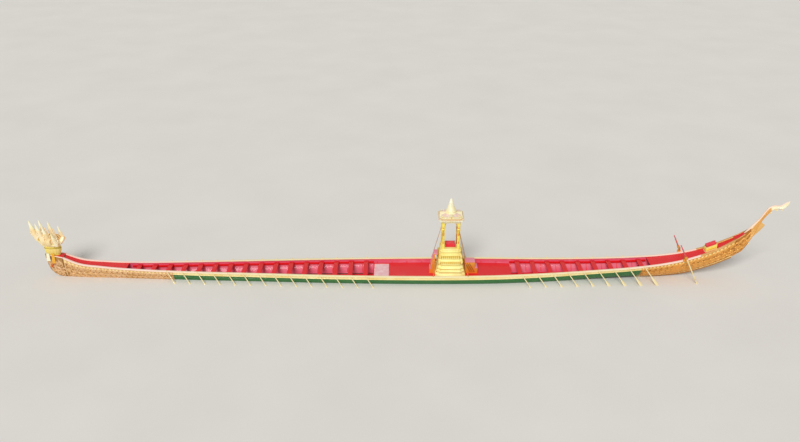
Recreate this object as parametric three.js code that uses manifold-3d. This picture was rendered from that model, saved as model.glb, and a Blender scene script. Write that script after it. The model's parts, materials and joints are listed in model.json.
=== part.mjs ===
// A long ceremonial paddled barge with a seven-headed serpent at the bow, built as a 1:2 scale model.
// Millimetres. X runs from the bow (-X) to the stern (+X), -Y is port, +Z is up.
// The origin is on the waterline, on the centreline, halfway between the two tips.
import * as THREE from 'three';
import { mergeVertices } from 'three/addons/utils/BufferGeometryUtils.js';
import Module from 'manifold-3d';

const wasm = await Module();
wasm.setup();

// Driving dimensions

const GAP = 0.3;
const SKIN = 34;
const BOTTOM_THICKNESS = 45;
const CAP_HEIGHT = 30;
const CAP = { outside: 26, inside: 50, edge: 8 };
const BAND_PROUD = 12;
const BAND_START = 0.8;
const PLANK_SPLIT = 0.16;

const BOW_END = -10300;
const STERN_END = 9750;
const BOW_JOINT = -7000;
const FORE_JOINT = -2200;
const AFT_JOINT = 2600;
const STERN_JOINT = 7000;
const KEEL = { halfWidth: 26, height: 42 };
const MID_DECK = { fore: -1020, aft: 3150, top: 160, thickness: 28, bulkhead: 26 };
const BOW_DECK_AFT = -8450;
const STERN_DECK_FORE = 7290;
const END_DECK = { drop: 38, thickness: 24 };
const FLOOR = { fore: -9000, aft: 7700, thickness: 18 };
const BEYOND_HULL = 800;

const ROW_PITCH = 458;
const FORE_ROWS = { aftmost: -1250, count: 16, paddles: 14 };
const AFT_ROWS = { foremost: 3386, count: 9 };
const THWART = { depth: 140, thickness: 32, drop: 70 };
const RISER = { width: 28, top: 95, bottom: 160 };

const PADDLE = {
  length: 760,
  radius: 12,
  bladeLength: 300,
  bladeWidth: 84,
  bladeThickness: 14,
  tuck: 60,
  shoulder: 190,
  toe: 70,
};
const PADDLE_DIRECTION = new THREE.Vector3(0.573, 0.366, -0.732).normalize();

const NECK = { x: -10610, halfLength: 245, halfWidth: 112, bottom: 640, top: 1010 };
const SASH = { bottom: 775, top: 965, thickness: 24 };

const PAVILION_X = 1290;
const PLATFORM_TOP = 1030;
const POST = { centre: 226, width: 96 };
const EAVE = { bottom: 1870, ceiling: 1980, top: 2012 };
const SPIRE_FOOT = 2100;
const SPIRE_TOP = 2548;
const CURTAIN = { x: 218, y: 118, upperRadius: 40, lowerRadius: 46 };
const THRONE = { halfLength: 160, halfWidth: 150, height: 96 };
// Each flight's treads are given from the top one down, with their depths. The fore flight's top tread
// reaches back to the base's belt as a slab, and the aft flight's is a landing.
const STEPS = {
  halfWidth: 150,
  fore: { treads: [40, 40, 40, 40], height: 660, slab: 50, back: 82 },
  aft: { treads: [300, 80], height: 384, slab: 0, back: 0 },
};
const STAY = { radius: 8, upper: 1640, spread: 290, pad: 34, plate: 6 };

const SEAT = { fore: 8920, aft: 9240, halfWidth: 105, height: 152, margin: 12, cushion: 62 };

const OAR_X = 8270;
const OAR_PIVOT = new THREE.Vector3(OAR_X, 400, 790);
const OAR_DIRECTION = new THREE.Vector3(0.33, 0.1, -0.68).normalize();
const OAR = { above: 450, below: 1350, radius: 19, bladeLength: 500, bladeWidth: 150, bladeThickness: 18 };
const SWIVEL = {
  y: 300,
  pinRadius: 12,
  pinClearance: 0.8,
  discRadius: 38,
  blockLength: 104,
  blockReach: 42,
  blockBottom: 640,
  blockTop: 725,
};

// Hull stations. Each row is one cross-section: sheer is the height of the gunwale's top, beam the
// half-breadth there, keel the height of the bottom, and power the section's fullness (2 is an ellipse).
const STATIONS = [
  { x: -10300, sheer: 690, beam: 150, keel: -40, power: 1.5 },
  { x: -9900, sheer: 520, beam: 176, keel: -90, power: 1.5 },
  { x: -9150, sheer: 415, beam: 208, keel: -120, power: 1.5 },
  { x: -8000, sheer: 350, beam: 276, keel: -145, power: 1.6 },
  { x: -6800, sheer: 328, beam: 350, keel: -160, power: 1.8 },
  { x: -4400, sheer: 318, beam: 472, keel: -178, power: 1.95 },
  { x: -2200, sheer: 311, beam: 580, keel: -188, power: 2.05 },
  { x: 0, sheer: 310, beam: 640, keel: -190, power: 2.1 },
  { x: 1300, sheer: 312, beam: 645, keel: -190, power: 2.1 },
  { x: 2600, sheer: 320, beam: 618, keel: -184, power: 2.1 },
  { x: 4000, sheer: 345, beam: 540, keel: -145, power: 2.0 },
  { x: 5600, sheer: 405, beam: 442, keel: -55, power: 1.7 },
  { x: 6900, sheer: 485, beam: 370, keel: 10, power: 1.55 },
  { x: 7700, sheer: 570, beam: 315, keel: 55, power: 1.5 },
  { x: 8300, sheer: 680, beam: 266, keel: 130, power: 1.5 },
  { x: 8900, sheer: 860, beam: 220, keel: 290, power: 1.5 },
  { x: 9400, sheer: 1075, beam: 172, keel: 480, power: 1.5 },
  { x: 9750, sheer: 1265, beam: 125, keel: 650, power: 1.5 },
];

// Finishes

function finish(color, roughness, metalness) {
  return new THREE.MeshStandardMaterial({ color, roughness, metalness });
}

const GOLD = finish('#c99a3a', 0.4, 0.6);
const PALE_GOLD = finish('#e6cf94', 0.5, 0.2);
const GREEN = finish('#3f6b52', 0.5, 0.0);
const RED = finish('#b02a2a', 0.6, 0.0);
const CREAM = finish('#e9dcc0', 0.6, 0.0);
const ORANGE = finish('#c8702c', 0.6, 0.1);
const CLOTH = finish('#8f2f2a', 0.9, 0.0);
const SASH_CLOTH = finish('#dcc24a', 0.9, 0.0);

// Rods and blades are made pointing down this axis, then turned.
const DOWN_AXIS = new THREE.Vector3(0, -1, 0);

const barge = new THREE.Group();

function addPart(name, geometry, material) {
  const mesh = new THREE.Mesh(geometry, material);
  mesh.name = name;
  barge.add(mesh);
  return mesh;
}

// Solids and cuts

function solidOf(geometry) {
  const bare = geometry.clone();
  bare.deleteAttribute('normal');
  bare.deleteAttribute('uv');
  const merged = mergeVertices(bare, 1e-3);
  const triVerts = new Uint32Array(merged.index.array);
  const vertProperties = merged.attributes.position.array;
  return new wasm.Manifold(new wasm.Mesh({ numProp: 3, vertProperties, triVerts }));
}

function geometryOf(solid) {
  const mesh = solid.getMesh();
  const geometry = new THREE.BufferGeometry();
  geometry.setAttribute('position', new THREE.BufferAttribute(mesh.vertProperties, mesh.numProp));
  geometry.setIndex(new THREE.BufferAttribute(mesh.triVerts, 1));
  return geometry;
}

const join = (solids) => solids.reduce((whole, solid) => whole.add(solid));

// The geometry's solid, thickened all round by copies of it moved a little each way, to cut a neighbour with.
function thickened(geometry, amount) {
  const moves = [[1, 0, 0], [-1, 0, 0], [0, 1, 0], [0, -1, 0], [0, 0, 1], [0, 0, -1]];
  const copies = moves.map((move) => geometry.clone().translate(...move.map((step) => step * amount)));
  return join([geometry, ...copies].map(solidOf));
}

function box(x0, x1, y0, y1, z0, z1) {
  const geometry = new THREE.BoxGeometry(x1 - x0, y1 - y0, z1 - z0);
  return geometry.translate((x0 + x1) / 2, (y0 + y1) / 2, (z0 + z1) / 2);
}

// A flat outline given thickness, half of it to each side.
function extruded(outline, settings) {
  const shape = new THREE.Shape(outline.map(([u, v]) => new THREE.Vector2(u, v)));
  return new THREE.ExtrudeGeometry(shape, settings).translate(0, 0, -settings.depth / 2);
}

// The same with its edges cut back by bevel in thickness and by inset in outline.
function bevelled(outline, thickness, bevel, inset) {
  const settings = { bevelThickness: bevel, bevelSize: inset, bevelOffset: -inset, bevelSegments: 1 };
  return extruded(outline, { depth: thickness - 2 * bevel, ...settings });
}

// A closed solid through a list of loops with equal numbers of points; axis is the direction the loops follow.
// Each four-sided panel folds along the diagonal that lies further out, so neighbouring pieces fold alike.
function loft(loops, axis) {
  const count = loops[0].length;
  const points = loops.flat();
  const index = [];
  const reach = (i, j) => Math.abs(points[i].y + points[j].y) - (points[i].z + points[j].z);
  for (let ring = 0; ring + 1 < loops.length; ring += 1) {
    for (let i = 0; i < count; i += 1) {
      const a = ring * count + i;
      const b = ring * count + ((i + 1) % count);
      const [c, d] = [b + count, a + count];
      if (reach(a, c) > reach(b, d)) index.push(a, b, c, a, c, d);
      else index.push(a, b, d, b, c, d);
    }
  }
  const [u, v] = { x: ['y', 'z'], y: ['z', 'x'], z: ['x', 'y'] }[axis];
  const capOf = (loop, base, reverse) => {
    const flat = loop.map((point) => new THREE.Vector2(point[u], point[v]));
    const winding = Math.sign(THREE.ShapeUtils.area(flat));
    for (const [a, b, c] of THREE.ShapeUtils.triangulateShape(flat, [])) {
      const turn = Math.sign(THREE.ShapeUtils.area([flat[a], flat[b], flat[c]]));
      const forward = (turn === winding) !== reverse;
      index.push(base + a, base + (forward ? b : c), base + (forward ? c : b));
    }
  };
  capOf(loops[0], 0, true);
  capOf(loops[loops.length - 1], (loops.length - 1) * count, false);
  const geometry = new THREE.BufferGeometry().setFromPoints(points);
  if (signedVolume(points, index) < 0) index.reverse();
  geometry.setIndex(index);
  return geometry;
}

function signedVolume(points, index) {
  let sum = 0;
  for (let i = 0; i < index.length; i += 3) {
    const [a, b, c] = [points[index[i]], points[index[i + 1]], points[index[i + 2]]];
    sum += a.dot(b.clone().cross(c));
  }
  return sum / 6;
}

// Hull form

function stationAt(x) {
  const next = STATIONS.findIndex((station) => station.x >= x - 1e-6);
  if (next <= 0) return { ...STATIONS[0], x };
  const [low, high] = [STATIONS[next - 1], STATIONS[next]];
  const share = (x - low.x) / (high.x - low.x);
  const blend = (key) => low[key] + share * (high[key] - low[key]);
  return { x, sheer: blend('sheer'), beam: blend('beam'), keel: blend('keel'), power: blend('power') };
}

// Every piece that follows the hull uses the same sections, so that neighbours keep an even gap.
const SECTIONS = [...STATIONS, stationAt(BOW_JOINT), stationAt(STERN_JOINT)].sort((a, b) => a.x - b.x);

function stationsBetween(x0, x1) {
  const inside = SECTIONS.filter((station) => station.x > x0 + 20 && station.x < x1 - 20);
  return [stationAt(x0), ...inside, stationAt(x1)];
}

const rimOf = (station) => station.sheer - CAP_HEIGHT - GAP;
const swell = (share, power) => (1 - (1 - share) ** power) ** (1 / power);

// Points of one half of the section, at a share of the height from the bottom to the rim.
function outerPoint(station, share, proud = 0) {
  const z = station.keel + share * (rimOf(station) - station.keel);
  return { y: station.beam * swell(share, station.power) + proud, z };
}

function innerPoint(station, share, inset = 0) {
  const bottom = station.keel + BOTTOM_THICKNESS;
  const z = bottom + share * (rimOf(station) - bottom) + inset;
  return { y: Math.max(0, (station.beam - SKIN) * swell(share, station.power) - inset), z };
}

const place = (station, side, { y, z }) => new THREE.Vector3(station.x, side * y, z);
const BOTTOM_ROWS = [0.025, 0.075, PLANK_SPLIT];
const SIDE_ROWS = [0.3, 0.52];

// The keel stands down from the middle of the bottom, narrower where the bottom itself is narrow.
function keelPoints(station) {
  const root = Math.min(KEEL.halfWidth, 0.8 * outerPoint(station, BOTTOM_ROWS[0]).y);
  const foot = 0.7 * root;
  const [upper, lower] = [station.keel, station.keel - KEEL.height];
  const outline = [[-root, upper], [-foot, lower], [foot, lower], [root, upper]];
  return outline.map(([y, z]) => place(station, 1, { y, z }));
}

function bottomPlanks(x0, x1) {
  const half = (station, side, pointAt) => (
    BOTTOM_ROWS.map((share) => place(station, side, pointAt(station, share)))
  );
  const loops = stationsBetween(x0, x1).map((station) => [
    ...half(station, -1, outerPoint).reverse(),
    ...keelPoints(station),
    ...half(station, 1, outerPoint),
    ...half(station, 1, innerPoint).reverse(),
    place(station, 1, innerPoint(station, 0)),
    ...half(station, -1, innerPoint),
  ]);
  return loft(loops, 'x');
}

function sidePlanks(side, x0, x1) {
  const loops = stationsBetween(x0, x1).map((station) => {
    const lowest = PLANK_SPLIT + GAP / (rimOf(station) - station.keel);
    const rows = [lowest, ...SIDE_ROWS, BAND_START];
    const outer = rows.map((share) => outerPoint(station, share));
    const band = [BAND_START + 0.01, 1].map((share) => outerPoint(station, share, BAND_PROUD));
    const inner = [...rows, 1].map((share) => innerPoint(station, share)).reverse();
    return [...outer, ...band, ...inner].map((point) => place(station, side, point));
  });
  return loft(loops, 'x');
}

// The space inside the planking, drawn in by inset and carried up past the gunwale.
function interior(inset) {
  const rows = [...BOTTOM_ROWS, ...SIDE_ROWS, BAND_START, 1];
  const loops = SECTIONS.map((station) => {
    const half = rows.map((share) => innerPoint(station, share, inset));
    half.push({ y: station.beam - SKIN - inset, z: station.sheer + 400 });
    const starboard = half.map((point) => place(station, 1, point));
    const port = half.map((point) => place(station, -1, point)).reverse();
    return [place(station, 1, innerPoint(station, 0, inset)), ...starboard, ...port];
  });
  return solidOf(loft(loops, 'x'));
}

// A slab that follows a height rule along the hull, wider than the hull.
function slab(x0, x1, lowOf, highOf) {
  const loops = stationsBetween(x0, x1).map((station) => [
    new THREE.Vector3(station.x, -BEYOND_HULL, lowOf(station)),
    new THREE.Vector3(station.x, BEYOND_HULL, lowOf(station)),
    new THREE.Vector3(station.x, BEYOND_HULL, highOf(station)),
    new THREE.Vector3(station.x, -BEYOND_HULL, highOf(station)),
  ]);
  return solidOf(loft(loops, 'x'));
}

const SIDES = [{ name: 'port', side: -1 }, { name: 'starboard', side: 1 }];

// Planking: the bottom with its keel in four lengths, and each side in five

function addPlanking() {
  const bottoms = [
    { name: 'bow', x0: BOW_END, x1: BOW_JOINT, material: GOLD },
    { name: 'mid', x0: BOW_JOINT + GAP, x1: AFT_JOINT, material: GREEN },
    { name: 'aft', x0: AFT_JOINT + GAP, x1: STERN_JOINT, material: GREEN },
    { name: 'stern', x0: STERN_JOINT + GAP, x1: STERN_END, material: GOLD },
  ];
  for (const { name, x0, x1, material } of bottoms) {
    addPart(`bottom_planks_${name}`, bottomPlanks(x0, x1), material);
  }
  const lengths = [
    { name: 'bow', x0: BOW_END, x1: BOW_JOINT, material: GOLD },
    { name: 'fore', x0: BOW_JOINT + GAP, x1: FORE_JOINT, material: GREEN },
    { name: 'mid', x0: FORE_JOINT + GAP, x1: AFT_JOINT, material: GREEN },
    { name: 'aft', x0: AFT_JOINT + GAP, x1: STERN_JOINT, material: GREEN },
    { name: 'stern', x0: STERN_JOINT + GAP, x1: STERN_END, material: GOLD },
  ];
  for (const { name, x0, x1, material } of lengths) {
    for (const { name: sideName, side } of SIDES) {
      addPart(`side_planks_${name}_${sideName}`, sidePlanks(side, x0, x1), material);
    }
  }
}

// Gunwale caps, with the paddles that lie across them and the blocks that carry the steering oars

function capLoops(side, x0, x1) {
  const { edge } = CAP;
  return stationsBetween(x0, x1).map((station) => {
    const outer = station.beam + CAP.outside;
    const inner = station.beam - CAP.inside;
    const { sheer } = station;
    const outline = [
      [outer, sheer - CAP_HEIGHT], [outer, sheer - edge], [outer - edge, sheer],
      [inner + edge, sheer], [inner, sheer - edge], [inner, sheer - CAP_HEIGHT],
    ];
    return outline.map(([y, z]) => place(station, side, { y, z }));
  });
}

function paddle(side, x) {
  const station = stationAt(x);
  const start = new THREE.Vector3(x, side * (station.beam + 12), station.sheer + 18);
  const direction = PADDLE_DIRECTION.clone().multiply(new THREE.Vector3(1, side, 1));
  const shaftLength = PADDLE.length - PADDLE.bladeLength + PADDLE.tuck;
  const shaft = new THREE.CylinderGeometry(PADDLE.radius, PADDLE.radius, shaftLength, 6);
  shaft.translate(0, -shaftLength / 2, 0);
  const tip = -PADDLE.length;
  const neck = tip + PADDLE.bladeLength;
  const half = PADDLE.bladeWidth / 2;
  const [shoulder, toe] = [tip + PADDLE.shoulder, tip + PADDLE.toe];
  const outline = [[0, neck], [-half, shoulder], [-half, toe], [0, tip], [half, toe], [half, shoulder]];
  const blade = extruded(outline, { depth: PADDLE.bladeThickness, bevelEnabled: false });
  const turn = new THREE.Quaternion().setFromUnitVectors(DOWN_AXIS, direction);
  const aimed = (geometry) => solidOf(geometry.applyQuaternion(turn).translate(...start.toArray()));
  return aimed(shaft).add(aimed(blade));
}

function oarBlock(side) {
  const reach = side * (SWIVEL.y + SWIVEL.blockReach);
  const root = side * (stationAt(OAR_X).beam + CAP.outside - CAP.edge);
  const [y0, y1] = [Math.min(root, reach), Math.max(root, reach)];
  const half = SWIVEL.blockLength / 2;
  const block = solidOf(box(OAR_X - half, OAR_X + half, y0, y1, SWIVEL.blockBottom, SWIVEL.blockTop));
  const radius = SWIVEL.pinRadius + SWIVEL.pinClearance;
  const hole = new THREE.CylinderGeometry(radius, radius, 100, 20);
  hole.rotateX(Math.PI / 2).translate(OAR_X, side * SWIVEL.y, SWIVEL.blockTop);
  return block.subtract(solidOf(hole));
}

// The x of each of a run of rows, from a first row on.
function rowsFrom(start, step, first, count) {
  return Array.from({ length: count }, (_, i) => start + step * (first + i));
}

function addCaps() {
  for (const { name, side } of SIDES) {
    const fore = solidOf(loft(capLoops(side, BOW_END, MID_DECK.fore), 'x'));
    const mid = loft(capLoops(side, MID_DECK.fore + GAP, MID_DECK.aft), 'x');
    const aft = solidOf(loft(capLoops(side, MID_DECK.aft + GAP, STERN_END), 'x'));
    const foreRows = rowsFrom(FORE_ROWS.aftmost, -ROW_PITCH, 0, FORE_ROWS.paddles);
    const aftRows = rowsFrom(AFT_ROWS.foremost, ROW_PITCH, 0, AFT_ROWS.count);
    const forePaddles = foreRows.map((x) => paddle(side, x));
    const aftPaddles = aftRows.map((x) => paddle(side, x));
    addPart(`gunwale_fore_${name}`, geometryOf(join([fore, ...forePaddles])), PALE_GOLD);
    addPart(`gunwale_mid_${name}`, mid, PALE_GOLD);
    addPart(`gunwale_aft_${name}`, geometryOf(join([aft, ...aftPaddles, oarBlock(side)])), PALE_GOLD);
  }
}

// Floorboards, decks and thwarts, each cut to the inside of the planking

const deckTop = (station) => station.sheer - END_DECK.drop;

function addDecks() {
  const floorTop = (station) => innerPoint(station, PLANK_SPLIT).z;
  const floorBottom = (station) => floorTop(station) - FLOOR.thickness;
  // The after floorboards rise in a straight line from the middle deck to their end.
  const [aftLow, aftHigh] = [MID_DECK.aft + GAP, FLOOR.aft].map((x) => floorTop(stationAt(x)));
  const [aftStart, aftLength] = [MID_DECK.aft + GAP, FLOOR.aft - MID_DECK.aft - GAP];
  const aftTop = ({ x }) => aftLow + ((x - aftStart) / aftLength) * (aftHigh - aftLow);
  const aftBottom = (station) => aftTop(station) - FLOOR.thickness;
  const deckBottom = (station) => deckTop(station) - END_DECK.thickness;
  const runs = [
    { name: 'bow_deck', x0: BOW_END, x1: BOW_DECK_AFT, low: deckBottom, high: deckTop },
    { name: 'floorboards_fore', x0: FLOOR.fore, x1: MID_DECK.fore - GAP, low: floorBottom, high: floorTop },
    { name: 'floorboards_aft', x0: MID_DECK.aft + GAP, x1: FLOOR.aft, low: aftBottom, high: aftTop },
    { name: 'stern_deck', x0: STERN_DECK_FORE, x1: STERN_END, low: deckBottom, high: deckTop },
  ];
  for (const { name, x0, x1, low, high } of runs) {
    addPart(name, geometryOf(interior(GAP).intersect(slab(x0, x1, low, high))), RED);
  }
  const { fore, aft, top, thickness, bulkhead } = MID_DECK;
  const inside = interior(GAP);
  const deck = join([
    solidOf(box(fore, aft, -BEYOND_HULL, BEYOND_HULL, top - thickness, top)),
    solidOf(box(fore, fore + bulkhead, -BEYOND_HULL, BEYOND_HULL, -200, top - 5)),
    solidOf(box(aft - bulkhead, aft, -BEYOND_HULL, BEYOND_HULL, -200, top - 5)),
  ]);
  addPart('mid_deck', geometryOf(inside.intersect(deck)), RED);
}

function addThwarts() {
  const frames = [
    { name: 'thwarts_fore_1', rows: rowsFrom(FORE_ROWS.aftmost, -ROW_PITCH, 0, 5) },
    { name: 'thwarts_fore_2', rows: rowsFrom(FORE_ROWS.aftmost, -ROW_PITCH, 5, 5) },
    { name: 'thwarts_fore_3', rows: rowsFrom(FORE_ROWS.aftmost, -ROW_PITCH, 10, 6) },
    { name: 'thwarts_aft_1', rows: rowsFrom(AFT_ROWS.foremost, ROW_PITCH, 0, 3) },
    { name: 'thwarts_aft_2', rows: rowsFrom(AFT_ROWS.foremost, ROW_PITCH, 3, 3) },
    { name: 'thwarts_aft_3', rows: rowsFrom(AFT_ROWS.foremost, ROW_PITCH, 6, 3) },
  ];
  const inside = interior(GAP);
  const core = interior(RISER.width);
  for (const { name, rows } of frames) {
    const x0 = Math.min(...rows) - ROW_PITCH / 2 + 1;
    const x1 = Math.max(...rows) + ROW_PITCH / 2 - 1;
    const riserBottom = (station) => station.sheer - RISER.bottom;
    const riserTop = (station) => station.sheer - RISER.top;
    const risers = inside.intersect(slab(x0, x1, riserBottom, riserTop)).subtract(core);
    const seats = rows.map((x) => {
      const top = stationAt(x).sheer - THWART.drop;
      const half = THWART.depth / 2;
      const board = box(x - half, x + half, -BEYOND_HULL, BEYOND_HULL, top - THWART.thickness, top);
      return inside.intersect(solidOf(board));
    });
    addPart(name, geometryOf(join([risers, ...seats])), RED);
  }
}

// Bow: the solid stem, its neck, the fan of serpent heads and the sash

// Prow sections, forward of the planking: x, keel and top heights, half-breadth.
const PROW = [
  { x: -10300 - GAP, keel: -40, top: 690, beam: 162 },
  { x: -10450, keel: -8, top: 712, beam: 146 },
  { x: -10600, keel: 45, top: 726, beam: 118 },
  { x: -10720, keel: 150, top: 736, beam: 88 },
  { x: -10800, keel: 300, top: 742, beam: 62 },
  { x: -10850, keel: 520, top: 746, beam: 38 },
  { x: -10868, keel: 690, top: 748, beam: 18 },
];

function neckCylinder(bottom, top, grow) {
  const cylinder = new THREE.CylinderGeometry(1, 1, top - bottom, 20);
  cylinder.rotateX(Math.PI / 2).scale(NECK.halfLength + grow, NECK.halfWidth + grow, 1);
  return solidOf(cylinder.translate(NECK.x, 0, (bottom + top) / 2));
}

function addStem() {
  const rows = [0.08, 0.3, 0.62, 1];
  const loops = PROW.map(({ x, keel, top, beam }) => {
    const half = rows.map((share) => ({ y: beam * swell(share, 1.5), z: keel + share * (top - keel) }));
    const starboard = half.map(({ y, z }) => new THREE.Vector3(x, y, z));
    const port = half.map(({ y, z }) => new THREE.Vector3(x, -y, z)).reverse();
    return [new THREE.Vector3(x, 0, keel), ...starboard, ...port];
  });
  const prow = solidOf(loft(loops, 'x'));
  addPart('stem', geometryOf(prow.add(neckCylinder(NECK.bottom, NECK.top, 0))), GOLD);
  const sash = neckCylinder(SASH.bottom, SASH.top, SASH.thickness).subtract(neckCylinder(700, 1000, GAP + 0.2));
  addPart('neck_sash', geometryOf(sash), SASH_CLOTH);
}

// The fan's ribs, from the middle outwards: each has a root and a crown, with front and back x and y, and the
// crown's height.
const RIBS = [
  { root: { front: -10852, back: -10700, y: 0 }, crown: { front: -11060, back: -10900, y: 0, z: 1330 } },
  { root: { front: -10790, back: -10620, y: 50 }, crown: { front: -10850, back: -10680, y: 120, z: 1350 } },
  { root: { front: -10660, back: -10500, y: 90 }, crown: { front: -10640, back: -10480, y: 205, z: 1320 } },
  { root: { front: -10530, back: -10390, y: 92 }, crown: { front: -10400, back: -10250, y: 270, z: 1210 } },
];

function hood() {
  const ribLoop = ({ root, crown }, side) => {
    const foot = NECK.top + GAP;
    return [
      new THREE.Vector3(root.front, side * root.y, foot),
      new THREE.Vector3(root.back, side * root.y, foot),
      new THREE.Vector3(crown.back, side * crown.y, crown.z - 60),
      new THREE.Vector3((crown.back + crown.front) / 2, side * crown.y, crown.z),
      new THREE.Vector3(crown.front, side * crown.y, crown.z - 90),
    ];
  };
  const port = RIBS.slice(1).reverse().map((rib) => ribLoop(rib, -1));
  const starboard = RIBS.slice(1).map((rib) => ribLoop(rib, 1));
  return loft([...port, ribLoop(RIBS[0], 1), ...starboard], 'y');
}

const HEAD_THICKNESS = 84;
// One head from the side, measured from its crest's tip: forward is -x.
const HEAD_OUTLINE = [
  [0, 0], [42, -130], [88, -270], [150, -400], [215, -520], [230, -640], [120, -660],
  [70, -560], [30, -490], [-4, -450], [60, -420], [-12, -385], [-6, -330], [12, -230], [-8, -120],
];
// The heads from the middle outwards: the tip's place, the size beside the middle head, and the turn outwards.
const HEADS = [
  { name: 'centre', x: -11194, y: 0, z: 1842, size: 1, turn: 0 },
  { name: 'inner', x: -10960, y: 128, z: 1800, size: 0.86, turn: 10 },
  { name: 'middle', x: -10736, y: 214, z: 1716, size: 0.78, turn: 18 },
  { name: 'outer', x: -10480, y: 282, z: 1552, size: 0.7, turn: 26 },
];

function head({ x, y, z, size, turn }, side) {
  const outline = HEAD_OUTLINE.map(([u, v]) => [u * size, v * size]);
  const geometry = bevelled(outline, HEAD_THICKNESS * size, 14, 8);
  geometry.rotateX(Math.PI / 2).rotateZ(THREE.MathUtils.degToRad(-side * turn));
  return solidOf(geometry.translate(x, side * y, z));
}

function addFigurehead() {
  const fan = hood();
  const cut = thickened(fan, 2 * GAP);
  addPart('naga_hood', fan, GOLD);
  for (const entry of HEADS) {
    const sides = entry.y === 0 ? [{ name: '', side: 1 }] : SIDES;
    for (const { name, side } of sides) {
      const label = ['naga_head', entry.name, name].filter(Boolean).join('_');
      addPart(label, geometryOf(head(entry, side).subtract(cut)), GOLD);
    }
  }
}

// Stern: the solid tail

// Counter sections, aft of the planking: x, keel and top heights, half-breadth.
const COUNTER = [
  { x: 9750 + GAP, keel: 650, top: 1265, beam: 137 },
  { x: 9900, keel: 745, top: 1352, beam: 112 },
  { x: 10050, keel: 860, top: 1460, beam: 86 },
  { x: 10200, keel: 1100, top: 1600, beam: 56 },
];
const TAIL_THICKNESS = 76;
// The tail from the side: up the front, over the curl to the tip, then back down under it with its fin.
const TAIL_OUTLINE = [
  [9980, 1380], [10060, 1490], [10236, 1709], [10406, 1919], [10519, 2119], [10613, 2253], [10747, 2320],
  [10952, 2320], [11057, 2387], [11212, 2463], [11132, 2298], [11036, 2186], [10885, 2208], [10746, 2175],
  [10650, 2090], [10560, 1950], [10450, 1790], [10590, 1690], [10480, 1520], [10290, 1310], [10200, 1100],
  [10060, 960],
];

function addTail() {
  const rows = [0.08, 0.3, 0.62, 1];
  const loops = COUNTER.map(({ x, keel, top, beam }) => {
    const half = rows.map((share) => ({ y: beam * swell(share, 1.5), z: keel + share * (top - keel) }));
    const starboard = half.map(({ y, z }) => new THREE.Vector3(x, y, z));
    const port = half.map(({ y, z }) => new THREE.Vector3(x, -y, z)).reverse();
    return [new THREE.Vector3(x, 0, keel), ...starboard, ...port];
  });
  const blade = bevelled(TAIL_OUTLINE, TAIL_THICKNESS, 20, 14).rotateX(Math.PI / 2);
  addPart('tail', geometryOf(solidOf(loft(loops, 'x')).add(solidOf(blade))), GOLD);
}

// Pavilion

// A stack of square sections with notched corners: each level is its height and half-width.
function tower(levels, notch = 0.16) {
  const corner = (half) => {
    const inner = half * (1 - notch);
    return [[half, -inner], [half, inner], [inner, inner], [inner, half]];
  };
  const loops = levels.map(([z, half]) => {
    const ring = [];
    for (let quarter = 0; quarter < 4; quarter += 1) {
      const turn = (quarter * Math.PI) / 2;
      const [cos, sin] = [Math.cos(turn), Math.sin(turn)];
      for (const [u, v] of corner(half).slice(1)) {
        ring.push(new THREE.Vector3(PAVILION_X + u * cos - v * sin, u * sin + v * cos, z));
      }
    }
    return ring;
  });
  return loft(loops, 'z');
}

// Levels are height and half-width.
const BASE_HALF = 452;
const BASE_WALL = 300;
const BASE_LEVELS = [
  [MID_DECK.top + GAP, BASE_HALF], [250, BASE_HALF], [262, 420], [345, 420], [357, 392], [440, 392], [470, 352],
  [540, 352], [560, 368], [600, 398], [668, 372], [680, 340], [715, 340], [735, 352], [790, 366], [848, 330],
  [865, BASE_WALL], [925, BASE_WALL], [948, 322], [970, 306], [1006, 306], [PLATFORM_TOP, 290],
];
const EAVE_LEVELS = [
  [EAVE.bottom, 282], [1905, 292], [1945, 318], [1975, 352], [1985, 372], [EAVE.top, 372],
];
const ROOF_LEVELS = [
  [EAVE.top + GAP, 352], [2026, 352], [2048, 268], [2055, 282], [2073, 282], [2090, 196], [SPIRE_FOOT, 196],
  [SPIRE_FOOT + 1, 172], [2120, 172], [2160, 148], [2168, 156], [2184, 156], [2200, 128], [2230, 112],
  [2238, 120], [2250, 120], [2262, 98], [2310, 86], [2318, 92], [2330, 92], [2342, 78], [2400, 62], [2408, 67],
  [2418, 67], [2470, 48], [2520, 32], [SPIRE_TOP, 8],
];

function addPavilion() {
  addPart('pavilion_base', tower(BASE_LEVELS), CREAM);
  const { centre, width } = POST;
  const corners = [[-1, -1], [-1, 1], [1, -1], [1, 1]];
  const posts = corners.map(([u, v]) => {
    const [x, y] = [PAVILION_X + u * centre, v * centre];
    const half = width / 2;
    return solidOf(box(x - half, x + half, y - half, y + half, PLATFORM_TOP + GAP, EAVE.ceiling));
  });
  const hollow = centre - width / 2 - 6;
  const recess = box(PAVILION_X - hollow, PAVILION_X + hollow, -hollow, hollow, EAVE.bottom - 10, EAVE.ceiling);
  const eave = solidOf(tower(EAVE_LEVELS)).subtract(solidOf(recess));
  addPart('pavilion_frame', geometryOf(join([eave, ...posts])), CREAM);
  addPart('pavilion_roof', tower(ROOF_LEVELS), ORANGE);
  const { halfLength, halfWidth, height } = THRONE;
  const [seat, crown] = [PLATFORM_TOP + GAP, PLATFORM_TOP + height];
  const cushion = box(PAVILION_X - halfLength, PAVILION_X + halfLength, -halfWidth, halfWidth, seat, crown);
  addPart('throne_cushion', cushion, CLOTH);
  for (const { name, side } of SIDES) {
    const length = EAVE.bottom - PLATFORM_TOP - 2 * GAP;
    const curtain = new THREE.CylinderGeometry(CURTAIN.upperRadius, CURTAIN.lowerRadius, length, 12);
    curtain.rotateX(Math.PI / 2);
    curtain.translate(PAVILION_X + CURTAIN.x, side * CURTAIN.y, PLATFORM_TOP + GAP + length / 2);
    addPart(`curtain_${name}`, curtain, CLOTH);
  }
}

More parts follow.
